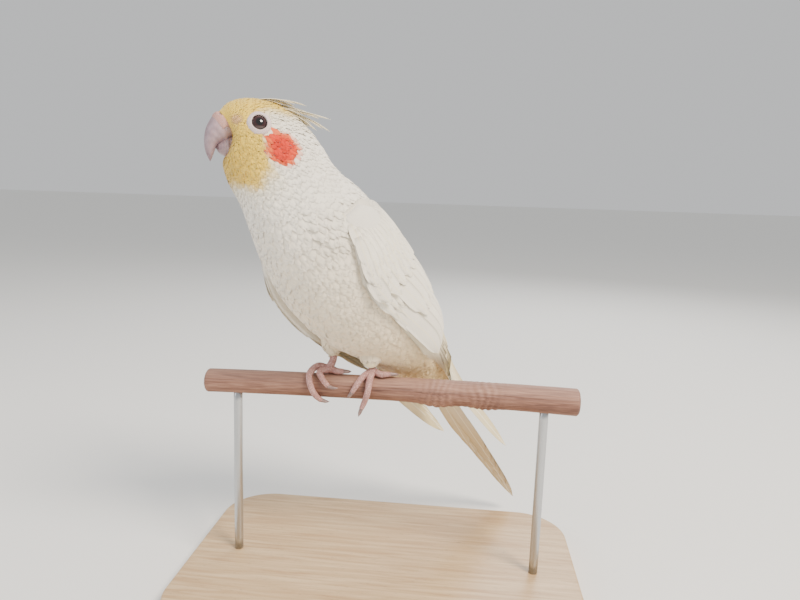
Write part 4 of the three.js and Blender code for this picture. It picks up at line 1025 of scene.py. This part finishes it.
clawHorn, tree, shader = newMaterial("clawKeratin", Roughness=0.35, IOR=1.54, Coat_Weight=0.2)
place = addNode(tree, "ShaderNodeTexCoord")
cloud = addNode(tree, "ShaderNodeTexNoise", Vector=place.outputs["Object"], Scale=900.0, Detail=3.0)
ramp = addNode(tree, "ShaderNodeValToRGB", {"stops": ((0.3, "#6B5450"), (0.7, "#A08680"))},
    Fac=cloud.outputs["Fac"])
tree.links.new(ramp.outputs["Color"], shader.inputs["Base Color"])

for side, leg in legs.items():
    name = side.capitalize()
    parts, claws = [], []
    knee, ankle, pad = overBranch(leg["knee"]), overBranch(leg["ankle"]), onBranch(leg["pad"])
    parts.append(scaledTube([mix(knee, ankle, 0.2), ankle, pad], [1.65, 1.75, 2.1], 26, scute=1.3,
        axis=(0.0, -1.0, 0.2)))
    parts.append(scaledTube([pad + np.array([0, 0.4, 0.5]), pad, pad + np.array([0, -1.2, -0.9])],
        [1.6, 2.5, 1.9], 14, scute=1.4, axis=(0.0, 0.3, 1.0)))
    for path, claw in leg["toes"]:
        line = [onBranch(p) for p in path]
        radii = [mix(1.12, 0.86, i / (len(path) - 1)) * toeRadius for i in range(len(path))]
        radii[-1] *= 0.88
        parts.append(scaledTube(line, radii, 22 * (len(path) - 1), scute=1.25, away=branchCentre))
        root, tip = line[-1], onBranch(claw)
        aheadOf = unit(line[-1] - line[-2])
        start = root - 0.2 * aheadOf
        bend = mix(start, tip, 0.5) + 0.6 * aheadOf
        claws.append(scaledTube([start, bend, tip], [1.05, 0.8, 0.16], 18, sides=16, away=branchCentre))
    points, faces = joined(parts)
    addPiece("foot" + name, points, faces, footSkin, ["foot_" + side])
    points, faces = joined(claws)
    addPiece("claws" + name, points, faces, clawHorn, [f"claw_{side}_{k + 1}" for k in range(4)])

    # thigh: short feathers like trousers over the leg
    hip, end = overBranch(leg["hip"]), mix(knee, ankle, 0.55)

    def thighSheet(s, angle, lift, hip=hip, knee=knee, end=end):
        s, angle, lift = (np.asarray(v, float) for v in np.broadcast_arrays(s, angle, lift))
        shape = s.shape
        line = through([hip, knee, end], s.ravel()).reshape(shape + (3,))
        radius = np.interp(s, [0, 0.5, 0.9, 1.1], [7.6, 5.2, 3.1, 2.4])
        a = np.radians(angle)
        d = unit(end - hip)
        x = unit(np.cross(d, np.array([0, 1.0, 0])))
        y = np.cross(d, x)
        over = np.maximum(s - 1, 0)[..., None] * np.linalg.norm(end - knee) * 2 * d
        spoke = x * np.cos(a)[..., None] + y * np.sin(a)[..., None]
        return line + over + spoke * (radius + lift)[..., None]

    at = np.repeat(np.linspace(0.15, 0.92, 9), 17)
    angle = np.tile(np.linspace(0, 360, 17, endpoint=False), 9) + rng.uniform(-8, 8, len(at))
    root = np.stack([at, angle], axis=-1)
    tip = np.stack([at + 0.36 * rng.uniform(0.85, 1.1, len(at)), angle + rng.normal(0, 5, len(at))], axis=-1)
    made = plumes(thighSheet, root, tip, np.tile([-0.9, 0.1], (len(at), 1)), 3.2, "contour", thick=0.2)
    # the thigh feathers take part of the under tan, painted shade under the body
    colour = np.repeat(np.tile(mix(linear["white"], linear["under"], 0.45), (len(at), 1))
        * rng.uniform(0.95, 1.03, (len(at), 1)), made["each"], axis=0)
    place = np.repeat(np.stack([angle / 720 + (0.5 if side == "left" else 0), 0.2 + 0.1 * at], axis=-1),
        made["each"], axis=0)
    core = scaledTube([hip, knee, end], [6.9, 4.6, 2.4], 20, sides=30, axis=(0.0, -1.0, 0.0))
    points = np.vstack([made["points"], core[0]])
    tri = np.vstack([made["faces"][:, [0, 1, 2]], made["faces"][:, [0, 2, 3]], core[1] + len(made["points"])])
    colours = np.vstack([colour, np.tile(linear["cream"], (len(core[0]), 1))])
    bake = np.vstack([place + made["patch"].reshape(-1, 2), np.full((len(core[0]), 2), 0.25)])
    vane = np.vstack([made["vane"], np.zeros((len(core[0]), 2))])
    addPiece("thigh" + name, points, tri, contourFeather, ["thigh_" + side], colours,
        {"OFBake": bake, "vane": vane})
print("legs")

# stand: beech base with a satin varnish and two drawn steel rods
beech, tree, shader = newMaterial("varnishedBeech", Roughness=0.42, IOR=1.5, Coat_Weight=0.15,
    Coat_Roughness=0.3)
place = addNode(tree, "ShaderNodeTexCoord")
stretch = addNode(tree, "ShaderNodeMapping", Vector=place.outputs["Object"], Scale=(0.06, 1.0, 1.0))
# 2.4 mm growth bands
grain = addNode(tree, "ShaderNodeTexNoise", Vector=stretch.outputs[0], Scale=420.0, Detail=6.0,
    Distortion=0.6)
flecks = addNode(tree, "ShaderNodeMapping", Vector=place.outputs["Object"], Scale=(0.25, 1.0, 1.0))
# beech's short rays
fleck = addNode(tree, "ShaderNodeTexNoise", Vector=flecks.outputs[0], Scale=1300.0, Detail=2.0)
ramp = addNode(tree, "ShaderNodeValToRGB", {"stops": ((0.3, "#B8946A"), (0.72, "#D8BC93"))},
    Fac=grain.outputs["Fac"])
darker = addNode(tree, "ShaderNodeMapRange", Value=fleck.outputs["Fac"], From_Min=0.6, From_Max=0.75,
    To_Min=1.0, To_Max=0.8)
scaled = addNode(tree, "ShaderNodeVectorMath", {"operation": "SCALE"}, i0=ramp.outputs["Color"],
    Scale=darker.outputs[0])
finishSurface(tree, shader, scaled.outputs[0], grain.outputs["Fac"], 0.2, 0.05)
base = {"length": 196, "width": 128, "thickness": 9, "corner": 26, "bevel": 1.2}


def roundedPlan(inset, count=24):
    l, w, c = base["length"] / 2 - inset, base["width"] / 2 - inset, base["corner"] - inset
    plan = []
    for x, y, start in ((l - c, -w + c, -90), (l - c, w - c, 0), (-l + c, w - c, 90), (-l + c, -w + c, 180)):
        for k in range(count + 1):
            a = math.radians(start + 90 * k / count)
            plan.append((x + c * math.cos(a), y + c * math.sin(a)))
    return np.array(plan)


def makeBase():
    b, h = base["bevel"], base["thickness"]
    turns = np.linspace(0, math.pi / 2, 6)
    levels = [(b * (1 - math.sin(a)), b * (1 - math.cos(a))) for a in turns]
    levels += [(b * (1 - math.cos(a)), h - b + b * math.sin(a)) for a in turns]
    cols = len(roundedPlan(0))
    rings = [np.column_stack([roundedPlan(inset), np.full(cols, z)]) for inset, z in levels]
    points = np.vstack(rings + [[[0, 0, 0]], [[0, 0, h]]])
    addPiece("standBase", points, closedTube(len(rings), cols), beech, ["stand_base"])


makeBase()

steel, tree, shader = newMaterial("drawnSteel", Metallic=1.0, Roughness=0.28)
shader.inputs["Base Color"].default_value = (*hexColour("#B9BBBD"), 1)
place = addNode(tree, "ShaderNodeTexCoord")
stretch = addNode(tree, "ShaderNodeMapping", Vector=place.outputs["Object"], Scale=(1.0, 1.0, 0.03))
# drawing lines along the rod
lines = addNode(tree, "ShaderNodeTexNoise", Vector=stretch.outputs[0], Scale=4000.0, Detail=2.0)
rough = addNode(tree, "ShaderNodeMapRange", Value=lines.outputs["Fac"], To_Min=0.2, To_Max=0.4)
tree.links.new(rough.outputs[0], shader.inputs["Roughness"])
rod = {"at": 76.0, "radius": 2.2}
for sign, side in ((-1, "Left"), (1, "Right")):
    low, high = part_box("stand_rod_" + side.lower())
    x = sign * rod["at"]
    z0, z1 = low.z / mm, high.z / mm
    points, faces = scaledTube([(x, 0, z0), (x, 0, mix(z0, z1, 0.5)), (x, 0, z1)], [rod["radius"]] * 3, 12,
        sides=48, axis=(0.0, -1.0, 0.0))
    addPiece("standRod" + side, points, faces, steel, ["stand_rod_" + side.lower()])
print("stand")

# studio: a plain pale floor, an even sky and three soft round lamps
pale, tree, shader = newMaterial("paleFloor", Roughness=0.9)
shader.inputs["Base Color"].default_value = (*hexColour("#EFEEEA"), 1)
floorMesh = bpy.data.meshes.new("floor")
floorMesh.from_pydata([(-40, -40, 0), (40, -40, 0), (40, 40, 0), (-40, 40, 0)], [], [(0, 1, 2, 3)])
floorMesh.materials.append(pale)
floor = bpy.data.objects.new("floor", floorMesh)
bpy.context.scene.collection.objects.link(floor)
floor.location.z = -0.0002

world = bpy.data.worlds.new("studio")
bpy.context.scene.world = world
world.use_nodes = True
world.node_tree.nodes["Background"].inputs["Color"].default_value = (0.84, 0.85, 0.86, 1)
world.node_tree.nodes["Background"].inputs["Strength"].default_value = 0.8
lamps = [("key", (0.62, -0.5, 0.95), 0.45, 22.0, "#FFF4E6"),
    ("fill", (-0.9, -0.35, 0.5), 0.7, 3.5, "#F4F6FF"), ("back", (0.3, 0.9, 0.8), 0.6, 6.0, "#FFFFFF")]
for name, place, size, power, tone in lamps:
    lamp = bpy.data.objects.new(name, bpy.data.lights.new(name, "AREA"))
    lamp.data.shape = "DISK"
    lamp.data.size, lamp.data.energy = size, power
    lamp.data.color = hexColour(tone)
    lamp.location = place
    lamp.rotation_euler = (Vector((-0.02, 0, 0.12)) - Vector(place)).to_track_quat("-Z", "Y").to_euler()
    bpy.context.scene.collection.objects.link(lamp)

print("studio ready")
